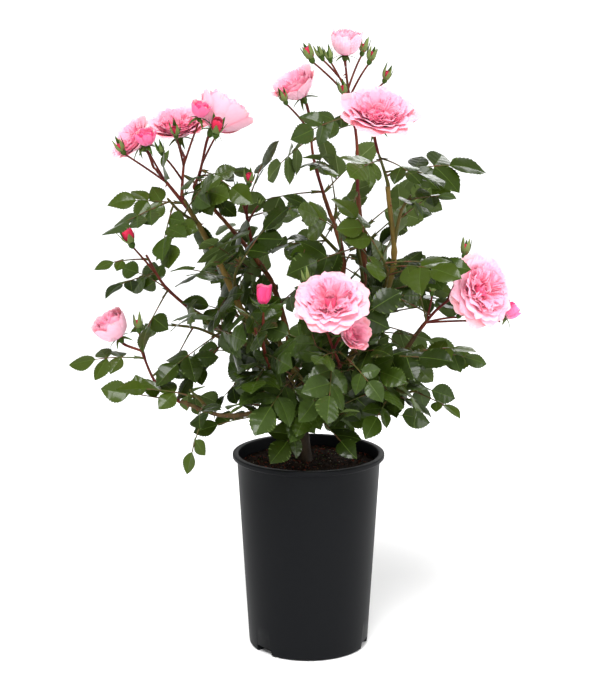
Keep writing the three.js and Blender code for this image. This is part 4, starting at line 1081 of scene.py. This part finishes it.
def add_rolled_petals(piece, base, axis, height, size, inner, outer, tip_lean=4):
    """The petals of a bud, rolled round its axis from the outside in. size sets their width."""
    for i in range(7):
        grid = petal_grid(
            base, axis, side_of(axis, GOLDEN_ANGLE * i),
            start=size * 0.03,
            length=height * (0.96 - 0.03 * i),
            width=size * (0.7 - 0.04 * i),
            lean=(64 - 4 * i, 2 - 2 * i, tip_lean - 2 * i),
            wrap=size * (0.31 - 0.018 * i),
            frill=size * 0.01,
            phase=i,
            cols=7,
        )
        add_petal(piece, grid, inner, outer)


def add_half_open(petals, stems, bud, random):
    """A small flower that is just opening: pale outside and bright within."""
    flower = Record(
        centre=bud.foot + bud.along * bud.length * 0.5, facing=bud.along, radius=bud.length * 0.48, open=0.3)
    add_whorls(petals, flower, HALF_OPEN_WHORLS, random)
    height = bud.length * 0.62
    add_rolled_petals(petals, foot_of(flower), bud.along, height, height, "petal_hot", "petal_bright")
    add_calyx(stems, flower, random)


# ---- finer growth

# How many short side shoots each cane carries, and between which places along it.
CANE_SHOOTS = {
    "front": (5, 0.35, 1.0), "front_left": (5, 0.35, 1.0), "right_low": (5, 0.3, 0.75),
    "left_low": (4, 0.2, 0.9), "left_mid": (3, 0.5, 1.0), "left_upper": (3, 0.35, 0.9),
    "left_high": (4, 0.25, 0.75), "left_back": (4, 0.3, 0.6), "centre": (4, 0.3, 0.7),
    "centre_left": (5, 0.3, 0.8), "right_high": (4, 0.25, 0.75), "back_left": (5, 0.3, 0.95),
    "back_right": (5, 0.3, 0.95),
}
TWIG_SHOOTS = 2
HEART = Record(middle=vec(5, 0, 410), reach=vec(115, 130, 115))  # where shoots may start
SHOOT_CLEARANCE, SHOOT_BLADE_ROOM, SHOOT_ROOM = 1.6, 3.6, 1.5
SHOOT_TRIES = 4


def is_inner(point):
    """True in the heart of the crown, where the leaves are thickest."""
    return np.sum(((point - HEART.middle) / HEART.reach) ** 2) < 1


def grow_shoot(owner, limb, place, angle, random, size):
    """A short side twig with one or two small leaves. None if no leaf finds room."""
    along = limb.curve.along(place)
    around = side_of(along, angle)
    root = limb.curve.at(place)
    if not is_inner(root):
        return None
    outward = outward_from(root)
    heading = unit(around + along * 0.5 + outward * 0.5 + UP * 0.25)
    length = mixed(10, 26, random())
    tip = root + heading * length + UP * 2
    stem = Curve([root, mixed(root, tip, 0.5) + around * 1.5, tip])
    stem_points = stem.at_all((0.5, 0.75, 1))
    if not space.is_free(owner, "stalk", stem_points, SHOOT_ROOM):
        return None
    leaves = []
    for i, at in enumerate((0.99, 0.6)):
        for attempt in range(SHOOT_TRIES):
            side = side_of(heading, angle + GOLDEN_ANGLE * i + 80 * attempt)
            leaf_heading = unit(heading * 0.6 + side * 0.7 + outward * 0.35 + UP * 0.1)
            leaf = shape_leaf(stem.at(at), leaf_heading, outward, size * mixed(0.85, 1.1, random()), random)
            if fit_leaf(owner, leaf, SHOOT_CLEARANCE, SHOOT_BLADE_ROOM):
                leaves.append(leaf)
                break
    if not leaves:
        return None
    space.claim(owner, "limb", stem_points, 1.2)
    return Record(curve=stem, leaves=leaves)


def grow_finer(limbs, twigs):
    """Side shoots on the canes, which go with the nearest mass, and then on the twigs."""
    for word, (count, first, last) in CANE_SHOOTS.items():
        limb = limbs["cane_" + word]
        random = seeded_random(limb.name + " shoots")
        angle = random() * 360
        for i in range(count):
            place = mixed(first, last, (i + 0.5) / count)
            middle = limb.curve.at(place)
            home = min(twigs, key=lambda twig: math.dist(twig.limb.curve.at(0.5), middle))
            for attempt in range(SHOOT_TRIES):
                shoot = grow_shoot(limb.name, limb, place, angle + 70 * attempt, random, 0.85)
                if shoot:
                    home.shoots.append(shoot)
                    break
            angle += GOLDEN_ANGLE
    for twig in twigs:
        random = seeded_random(twig.name + " shoots")
        angle = random() * 360
        for i in range(TWIG_SHOOTS):
            place = mixed(0.15, 0.85, (i + 0.5) / TWIG_SHOOTS)
            shoot = grow_shoot(twig.name, twig.limb, place, angle, random, twig.plan.size * 0.82)
            if shoot:
                twig.shoots.append(shoot)
            angle += GOLDEN_ANGLE


# ---- pot and soil

POT_SIDES = 160
SOIL_SIDES, SOIL_RINGS, SOIL_DEPTH = 120, 34, 14


def spot(away, angle):
    """x and y at a distance from the pot's axis and an angle round it from the front."""
    return away * math.sin(angle), -away * math.cos(angle)


def pot_radius(z):
    return mixed(POT.foot_radius, POT.neck_radius, z / (POT.height - POT.lip_height))


def arc(x, z, radius, first, last, steps):
    """Profile points round a corner, between two angles."""
    return [(x + radius * math.cos(math.radians(a)), z + radius * math.sin(math.radians(a)))
            for a in np.linspace(first, last, steps)]


def pot_profile():
    """Distance from the axis and height, from the middle of the underside, up the outside,
    over the rolled lip and down the inside."""
    lip_foot = POT.height - POT.lip_height
    lip_inside = pot_radius(POT.height) - POT.wall
    return [
        (0, 0),
        *arc(POT.foot_radius - POT.foot_round, POT.foot_round, POT.foot_round, -90, -8, 6),
        *[(pot_radius(z), z) for z in np.linspace(8, lip_foot - 4, 9)],
        *arc(pot_radius(lip_foot - 2) + POT.neck_round, lip_foot - 3.6, POT.neck_round, 180, 100, 4),
        *arc(POT.rim_radius - POT.lip_round, lip_foot + 1, POT.lip_round, -80, 0, 5),
        *arc(POT.rim_radius - POT.lip_top_round, POT.height - POT.lip_top_round, POT.lip_top_round, 0, 90, 6),
        *arc(lip_inside + 1, POT.height - POT.lip_top_round, POT.lip_top_round, 95, 180, 5),
        *[(pot_radius(z) - POT.wall, z) for z in np.linspace(lip_foot - 2, POT.step_height + 5, 8)],
        (pot_radius(POT.step_height) - POT.wall - POT.step_slope, POT.step_height),
        (POT.step_radius, POT.step_height),
        (POT.step_radius - POT.step_slope, POT.floor),
        (0, POT.floor),
    ]


def lathe(name, profile, sides):
    """A closed turned body. The profile starts and ends on the axis."""
    piece = Piece(name)
    angles = np.linspace(0, 2 * math.pi, sides, endpoint=False)
    rings = np.array([[(*spot(r, a), z) for a in angles] for r, z in profile[1:-1]])
    piece.add(rings, grid_faces(len(rings), sides, closed=True)[:, ::-1], "pot")
    for ring, z, order in ((rings[0], profile[0][1], 1), (rings[-1], profile[-1][1], -1)):
        fan = [[sides, (k + 1) % sides, k][::order] for k in range(sides)]
        piece.add(np.vstack([ring, [[0, 0, z]]]), fan, "pot")
    return piece


def make_pot():
    pot = lathe("nursery_pot", pot_profile(), POT_SIDES).made("pot", ["pot"])
    weld(pot)
    for i in range(POT.notches):
        cut_notch(pot, POT.notch_angle + 360 * i / POT.notches)


def weld(piece):
    modifier = piece.modifiers.new("weld", "WELD")
    modifier.merge_threshold = 1e-6
    apply_modifiers(piece)


def apply_modifiers(piece):
    graph = bpy.context.evaluated_depsgraph_get()
    mesh = bpy.data.meshes.new_from_object(piece.evaluated_get(graph))
    piece.modifiers.clear()
    piece.data = mesh


def cut_notch(pot, degrees):
    """One drain notch in the foot, with rounded upper corners."""
    half, corner = POT.notch_width / 2, POT.notch_round
    top = POT.notch_height - corner
    outline = [(-half - 1, -3), (half + 1, -3), *arc(half - corner, top, corner, 0, 90, 5),
               *arc(corner - half, top, corner, 90, 180, 5)]
    turn = math.radians(degrees)
    ends = [[(x * math.cos(turn) + away * math.sin(turn), x * math.sin(turn) - away * math.cos(turn), z)
             for x, z in outline] for away in (POT.step_radius + 2.5, POT.foot_radius + 12)]
    block = Piece("notch_block")
    add_rings(block, np.array(ends), "pot")
    cutter = block.plain()
    weld(cutter)
    modifier = pot.modifiers.new("notch", "BOOLEAN")
    modifier.operation = "DIFFERENCE"
    modifier.solver = "EXACT"
    modifier.object = cutter
    apply_modifiers(pot)
    bpy.data.objects.remove(cutter)


def soil_height(x, y):
    """The peat's lumpy surface, heaped a little over its plain solid."""
    outside_crown = (math.hypot(x, y) - SOIL.crown_radius) / SOIL.slope_width
    level = mixed(SOIL.crown, SOIL.edge, min(max(outside_crown, 0), 1))
    return level + SOIL.heaped + SOIL.lumps * noise.fractal(Vector((x, y, 5)) / SOIL.lump_size, 1.0, 2.0, 4)


def make_soil():
    """The peat in the pot: a lumpy top, closed below."""
    edge = pot_radius(SOIL.edge) - POT.wall - GAP
    angles = np.linspace(0, 2 * math.pi, SOIL_SIDES, endpoint=False)
    rings = [[(*spot(r, a), soil_height(*spot(r, a))) for a in angles]
             for r in np.linspace(1, edge, SOIL_RINGS)]
    rings.append([(*spot(edge * 0.99, a), SOIL.edge - SOIL_DEPTH) for a in angles])
    piece = Piece("peat")
    piece.add(np.array(rings), grid_faces(len(rings), SOIL_SIDES, closed=True), "peat")
    piece.add(rings[0], [list(range(SOIL_SIDES))], "peat")
    piece.add(rings[-1], [list(range(SOIL_SIDES))[::-1]], "peat")
    piece.made("soil", ["soil"])


OCTAHEDRON = np.array([[1, 0, 0], [0, 1, 0], [-1, 0, 0], [0, -1, 0], [0, 0, 1], [0, 0, -1]], float)
OCTAHEDRON_FACES = [[0, 1, 4], [1, 2, 4], [2, 3, 4], [3, 0, 4], [1, 0, 5], [2, 1, 5], [3, 2, 5], [0, 3, 5]]
# How many crumbs there are of each kind, and their least and greatest sizes.
CRUMBS = [("crumb_dark", 1500, 1.0, 3.4), ("crumb_bark", 260, 2.4, 5.5), ("crumb_pale", 90, 0.7, 1.8),
          ("crumb_green", 60, 2.0, 4.0)]
CRUMB_STRETCH = [(0.6, 1.5), (0.6, 1.2), (0.35, 0.8)]
LARGE_CRUMB = 3


def crumb_shape(size, random):
    """An octahedron, stretched and dented. The corners of a large one are scattered as well."""
    stretch = np.array([mixed(low, high, random()) for low, high in CRUMB_STRETCH])
    dents = [[(random() - 0.5) * size * 0.3 for _ in range(3)] for _ in range(6)]
    shape = OCTAHEDRON * stretch * (size / 2) + dents
    axis = unit(vec(random() - 0.5, random() - 0.5, random() - 0.5) + 1e-6)
    if size > LARGE_CRUMB:
        shape = np.array([turned(corner, axis, 360 * random()) for corner in shape])
    return shape


def make_crumbs():
    """Loose bits on the peat: lumps, bark chips, pale grains and a few bits of green."""
    random = seeded_random("crumbs")
    piece = Piece("peat_crumbs")
    edge = pot_radius(SOIL.edge) - POT.wall - 3
    for kind, count, smallest, largest in CRUMBS:
        for _ in range(count):
            away, angle = edge * math.sqrt(random()), 2 * math.pi * random()
            x, y = spot(away, angle)
            size = mixed(smallest, largest, random() ** 2)
            shape = crumb_shape(size, random)
            piece.add(shape + [x, y, soil_height(x, y) + size * 0.15], OCTAHEDRON_FACES, kind)
    piece.made("soil")


# ---- materials

def linear(code):
    """A colour written as six hexadecimal digits, as the shader takes it."""
    parts = [int(code[i:i + 2], 16) / 255 for i in (0, 2, 4)]
    return [p / 12.92 if p <= 0.04045 else ((p + 0.055) / 1.055) ** 2.4 for p in parts] + [1]


MATERIALS = {}  # by name
BLOTCHES = 0.38, 0.64  # the noise where the first colour ends and the second begins


def set_sockets(node, **values):
    """Sets a node's inputs to constants. An underscore in a name stands for a space."""
    for name, value in values.items():
        node.inputs[name.replace("_", " ")].default_value = value


def finish(name, code, roughness, specular=0.15, **constants):
    """A plain material. The constants are its shader's other sockets."""
    material = MATERIALS[name] = bpy.data.materials.new(name)
    material.use_nodes = True
    set_sockets(material.node_tree.nodes["Principled BSDF"], Base_Color=linear(code), Roughness=roughness,
                Specular_IOR_Level=specular, **constants)
    return material


def noise_into(material, kind, socket, result, shader_socket, scale, detail=4, stretch=(1, 1, 1)):
    """A node of that kind, which takes noise in at a socket and gives its result to the shader.
    The scale is in waves to the metre."""
    nodes, links = material.node_tree.nodes, material.node_tree.links
    node = nodes.new(kind)
    place = nodes.new("ShaderNodeTexCoord")
    mapping = nodes.new("ShaderNodeMapping")
    texture = nodes.new("ShaderNodeTexNoise")
    set_sockets(mapping, Scale=stretch)
    set_sockets(texture, Scale=scale, Detail=detail)
    links.new(place.outputs["Object"], mapping.inputs["Vector"])
    links.new(mapping.outputs["Vector"], texture.inputs["Vector"])
    links.new(texture.outputs["Fac"], node.inputs[socket])
    links.new(node.outputs[result], nodes["Principled BSDF"].inputs[shader_socket])
    return node


def add_bump(material, scale, strength, distance, *texture):
    """Fine relief."""
    bump = noise_into(material, "ShaderNodeBump", "Height", "Normal", "Normal", scale, *texture)
    set_sockets(bump, Strength=strength, Distance=distance)
    return material


def vary_roughness(material, scale, low, high):
    """Patches that are more or less rough."""
    spread = noise_into(material, "ShaderNodeMapRange", "Value", "Result", "Roughness", scale)
    set_sockets(spread, To_Min=low, To_Max=high)
    return material


def vary_colour(material, first, second, scale, stretch=(1, 1, 1)):
    """Blotches of a second colour."""
    ramp = noise_into(material, "ShaderNodeValToRGB", "Fac", "Color", "Base Color", scale, 5, stretch)
    for element, position, code in zip(ramp.color_ramp.elements, BLOTCHES, (first, second)):
        element.position, element.color = position, linear(code)
    return material


# The darker greens alone, for the leaves low down in front: painted shade under the crown.
SHADE_PAINTED_GREENS = ["leaf_deep", "leaf_dark", "leaf_mid", "leaf_grey"]  # low down in front
LEAF_GREENS = {
    "leaf_deep": "1e2a08", "leaf_dark": "26330a", "leaf_mid": "2e3e0e", "leaf_olive": "364412",
    "leaf_grey": "303f18", "leaf_young": "36450f",
}
PETAL_PINKS = {
    "petal_blush": "ffb2bc", "petal_pale": "ffbbce", "petal_light": "ffaac2", "petal_pink": "ff9ab9",
    "petal_rose": "ff7fa7", "petal_deep": "fb558a", "petal_bright": "ff76a4", "petal_hot": "f84a85",
    "petal_red": "c92c4c",
}
BARKS = {
    # The trunk's bark is its own dark brown, darkened further as painted shade under the crown.
    "bark_trunk": ("20170e", "34281a"), "bark_olive": ("52471d", "6f5727"),
    "bark_red": ("50291b", "6b4120"), "bark_brown": ("392916", "564526"),
    "stem_green": ("3e431a", "50431e"), "stem_red": ("4f1818", "622c1a"),
    "stem_brown": ("3f2e17", "50401e"),
}
# Colour, roughness and specular level of the small things that are plain.
PLAIN = {
    "rib_under": ("6f7f4c", 0.6, 0.15), "sepal_inner": ("6b7a44", 0.6, 0.15),
    "thorn": ("6b3423", 0.45, 0.15), "crumb_bark": ("55291d", 0.85, 0.1),
    "crumb_pale": ("8f8a7a", 0.8, 0.5), "crumb_green": ("3c4a22", 0.7, 0.1),
}


def make_materials():
    for name, look in PLAIN.items():
        finish(name, *look)
    for name, code in LEAF_GREENS.items():
        gloss = finish(name, code, 0.4, 0.07, Coat_Weight=0.24, Coat_Roughness=0.15)
        add_bump(vary_roughness(gloss, 60, 0.26, 0.44), 450, 0.4, 0.0008)
        finish("rib_" + name, "3f521a", 0.45)
    add_bump(finish("leaf_under", "4a5a2a", 0.65), 1800, 0.3, 0.0004)
    add_bump(finish("sepal", "364c15", 0.5), 900, 0.2, 0.0004)
    vary_colour(finish("leaf_stalk", "4c4b24", 0.5), "404b1f", "5c3426", 90)
    for name, code in PETAL_PINKS.items():
        petal = finish(name, code, 0.6, 0.12, Subsurface_Weight=0.5, Subsurface_Scale=0.0006,
                       Subsurface_Radius=(1, 0.95, 0.95))
        add_bump(petal, 500, 0.12, 0.0006, 3)
    for name, (dark, light) in BARKS.items():
        bark = vary_colour(finish(name, dark, 0.6), dark, light, 120, (1, 1, 0.25))
        add_bump(bark, 700, 0.35, 0.0006, 5, (1, 1, 0.3))
    plastic = vary_roughness(finish("pot", "101113", 0.4, 0.06), 9, 0.42, 0.52)
    add_bump(plastic, 260, 0.06, 0.0005)
    peat = vary_colour(finish("peat", "150f08", 0.95, 0.1), "0c0603", "2a190e", 160)
    add_bump(peat, 500, 0.8, 0.003)
    vary_colour(finish("crumb_dark", "1a140d", 0.9, 0.1), "120a06", "2e1f13", 300)


# ---- putting it together

def region_of(name):
    """The part of the crown that a mass or a bloom is joined with."""
    word = name.split("_")[1]
    return {"low": "front", "top": "centre"}.get(word, word)


def dress_masses(twigs):
    """The leaves, and the twigs with their stalks, of each part of the crown."""
    for region in ("left", "front", "right", "centre", "back"):
        members = [twig for twig in twigs if region_of(twig.name) == region]
        # The front's leaves take only the darker greens, as painted shade.
        greens = SHADE_PAINTED_GREENS if region == "front" else list(LEAF_GREENS)
        blades, stalks = Piece("leaves_" + region), Piece("twigs_" + region)
        buds, stems = Piece("bud_petals_" + region), Piece("bud_sepals_" + region)
        for twig in members:
            random = seeded_random(twig.name + " leaves")
            add_limb(stalks, twig.limb, 8, "stem_red" if twig.buds else "stem_green", thorns=0.03)
            leaves = list(twig.leaves)
            for shoot in twig.shoots:
                places = np.linspace(0, 1, 5)
                radii = [mixed(1.6, 1.1, place) for place in places]
                add_tube(stalks, shoot.curve.at_all(places), radii, 6, "stem_green")
                leaves += shoot.leaves
            for leaf in leaves:
                add_leaf(blades, stalks, leaf, greens[int(random() * len(greens))], random)
            for bud in twig.buds:
                add_bud(buds, stems, bud, random)
        nodes = [twig.name for twig in members]
        for piece, slot in ((blades, "leaf"), (stalks, "bark"), (buds, "petal"), (stems, "leaf")):
            if piece.count:
                piece.made(slot, nodes)


def dress_blooms(blooms):
    for region in ("left", "centre", "right"):
        members = [bloom for bloom in blooms if region_of(bloom.name) == region]
        petals, stems = Piece("blossom_" + region), Piece("calyxes_" + region)
        for bloom in members:
            add_bloom(petals, stems, bloom)
        nodes = [bloom.name for bloom in members]
        petals.made("petal", nodes)
        stems.made("leaf", nodes)


def dress_limbs(limbs):
    trunk, canes = Piece("trunk_bark"), Piece("canes_bark")
    above_soil = 0.045  # of the trunk's length, where it rises out of the peat
    # The trunk's bark colour carries painted shade.
    add_limb(trunk, limbs["trunk"], 28, "bark_trunk", spacing=2.5, start=above_soil, depth=1.1)
    names = [name for name in limbs if name != "trunk"]
    for name in names:
        add_limb(canes, limbs[name], 14, "bark_" + limbs[name].bark, spacing=3, depth=0.35, thorns=0.07)
    trunk.made("bark", ["trunk"])
    canes.made("bark", names)


# ---- floor, light and camera

HORIZON, ZENITH = 1.3, 0.5  # brightness of the sky
FADE = 0.03, 0.35  # the heights, from 0 to 1, between which it goes from one to the other
FLOOR_REACH, FLOOR_LEVEL = 30000, -0.5
LENS, SENSOR = 84.33, 36
LOOK_DOWN = 10.9  # degrees


def make_floor():
    """A plain white floor, just below the pot."""
    piece = Piece("floor")
    corners = [(x * FLOOR_REACH, y * FLOOR_REACH, FLOOR_LEVEL)
               for x, y in ((-1, -1), (1, -1), (1, 1), (-1, 1))]
    piece.add(corners, [[0, 1, 2, 3]], "floor")
    floor = piece.plain()
    floor.data.materials.append(finish("floor", "f4f4f4", 0.9, 0.5))


def make_lamp(name, place, target, size, watts):
    lamp = bpy.data.lights.new(name, "AREA")
    lamp.energy, lamp.size = watts, size
    holder = placed(name, lamp)
    holder.location = place
    holder.rotation_euler = (Vector(target) - Vector(place)).to_track_quat("-Z", "Y").to_euler()


def make_sun(name, source, softness, strength):
    """A light from far off, as broad as that many degrees."""
    lamp = bpy.data.lights.new(name, "SUN")
    lamp.energy, lamp.angle = strength, math.radians(softness)
    placed(name, lamp).rotation_euler = Vector(source).to_track_quat("Z", "Y").to_euler()


def make_sky():
    """White, brightest round the horizon."""
    world = bpy.data.worlds.new("studio")
    world.use_nodes = True
    nodes, links = world.node_tree.nodes, world.node_tree.links
    direction = nodes.new("ShaderNodeTexCoord")
    parts = nodes.new("ShaderNodeSeparateXYZ")
    fade = nodes.new("ShaderNodeMapRange")
    set_sockets(fade, From_Min=FADE[0], From_Max=FADE[1], To_Min=HORIZON, To_Max=ZENITH)
    set_sockets(nodes["Background"], Color=(1, 1, 1, 1))
    links.new(direction.outputs["Generated"], parts.inputs["Vector"])
    links.new(parts.outputs["Z"], fade.inputs["Value"])
    links.new(fade.outputs["Result"], nodes["Background"].inputs["Strength"])
    bpy.context.scene.world = world


def make_light():
    """A broad key from above and in front, a little from the left, and soft panels at the right,
    low in front and behind."""
    make_sky()
    make_sun("key", (-0.2, -0.8, 1.1), 30, 3.9)
    make_lamp("side", (1.6, -0.2, 0.9), (0, 0, 0.35), 0.9, 14)
    make_lamp("front", (0.5, -2.2, 0.35), (0, 0, 0.6), 1.6, 14)
    make_lamp("back", (0.4, 1.9, 1.6), (0, 0, 0.5), 1.0, 16)


def make_camera():
    camera = bpy.data.cameras.new("camera")
    camera.sensor_width, camera.lens = SENSOR, LENS
    holder = placed("camera", camera)
    holder.location = Vector(VIEWER) * METRES
    holder.rotation_euler = (math.radians(90 - LOOK_DOWN), 0, 0)
    bpy.context.scene.camera = holder


make_camera()
make_light()
make_floor()
make_materials()
limbs, twigs, blooms = grow_plant()
grow_finer(limbs, twigs)
dress_limbs(limbs)
dress_masses(twigs)
dress_blooms(blooms)
make_pot()
make_soil()
make_crumbs()
bpy.context.scene.view_settings.view_transform = "Standard"
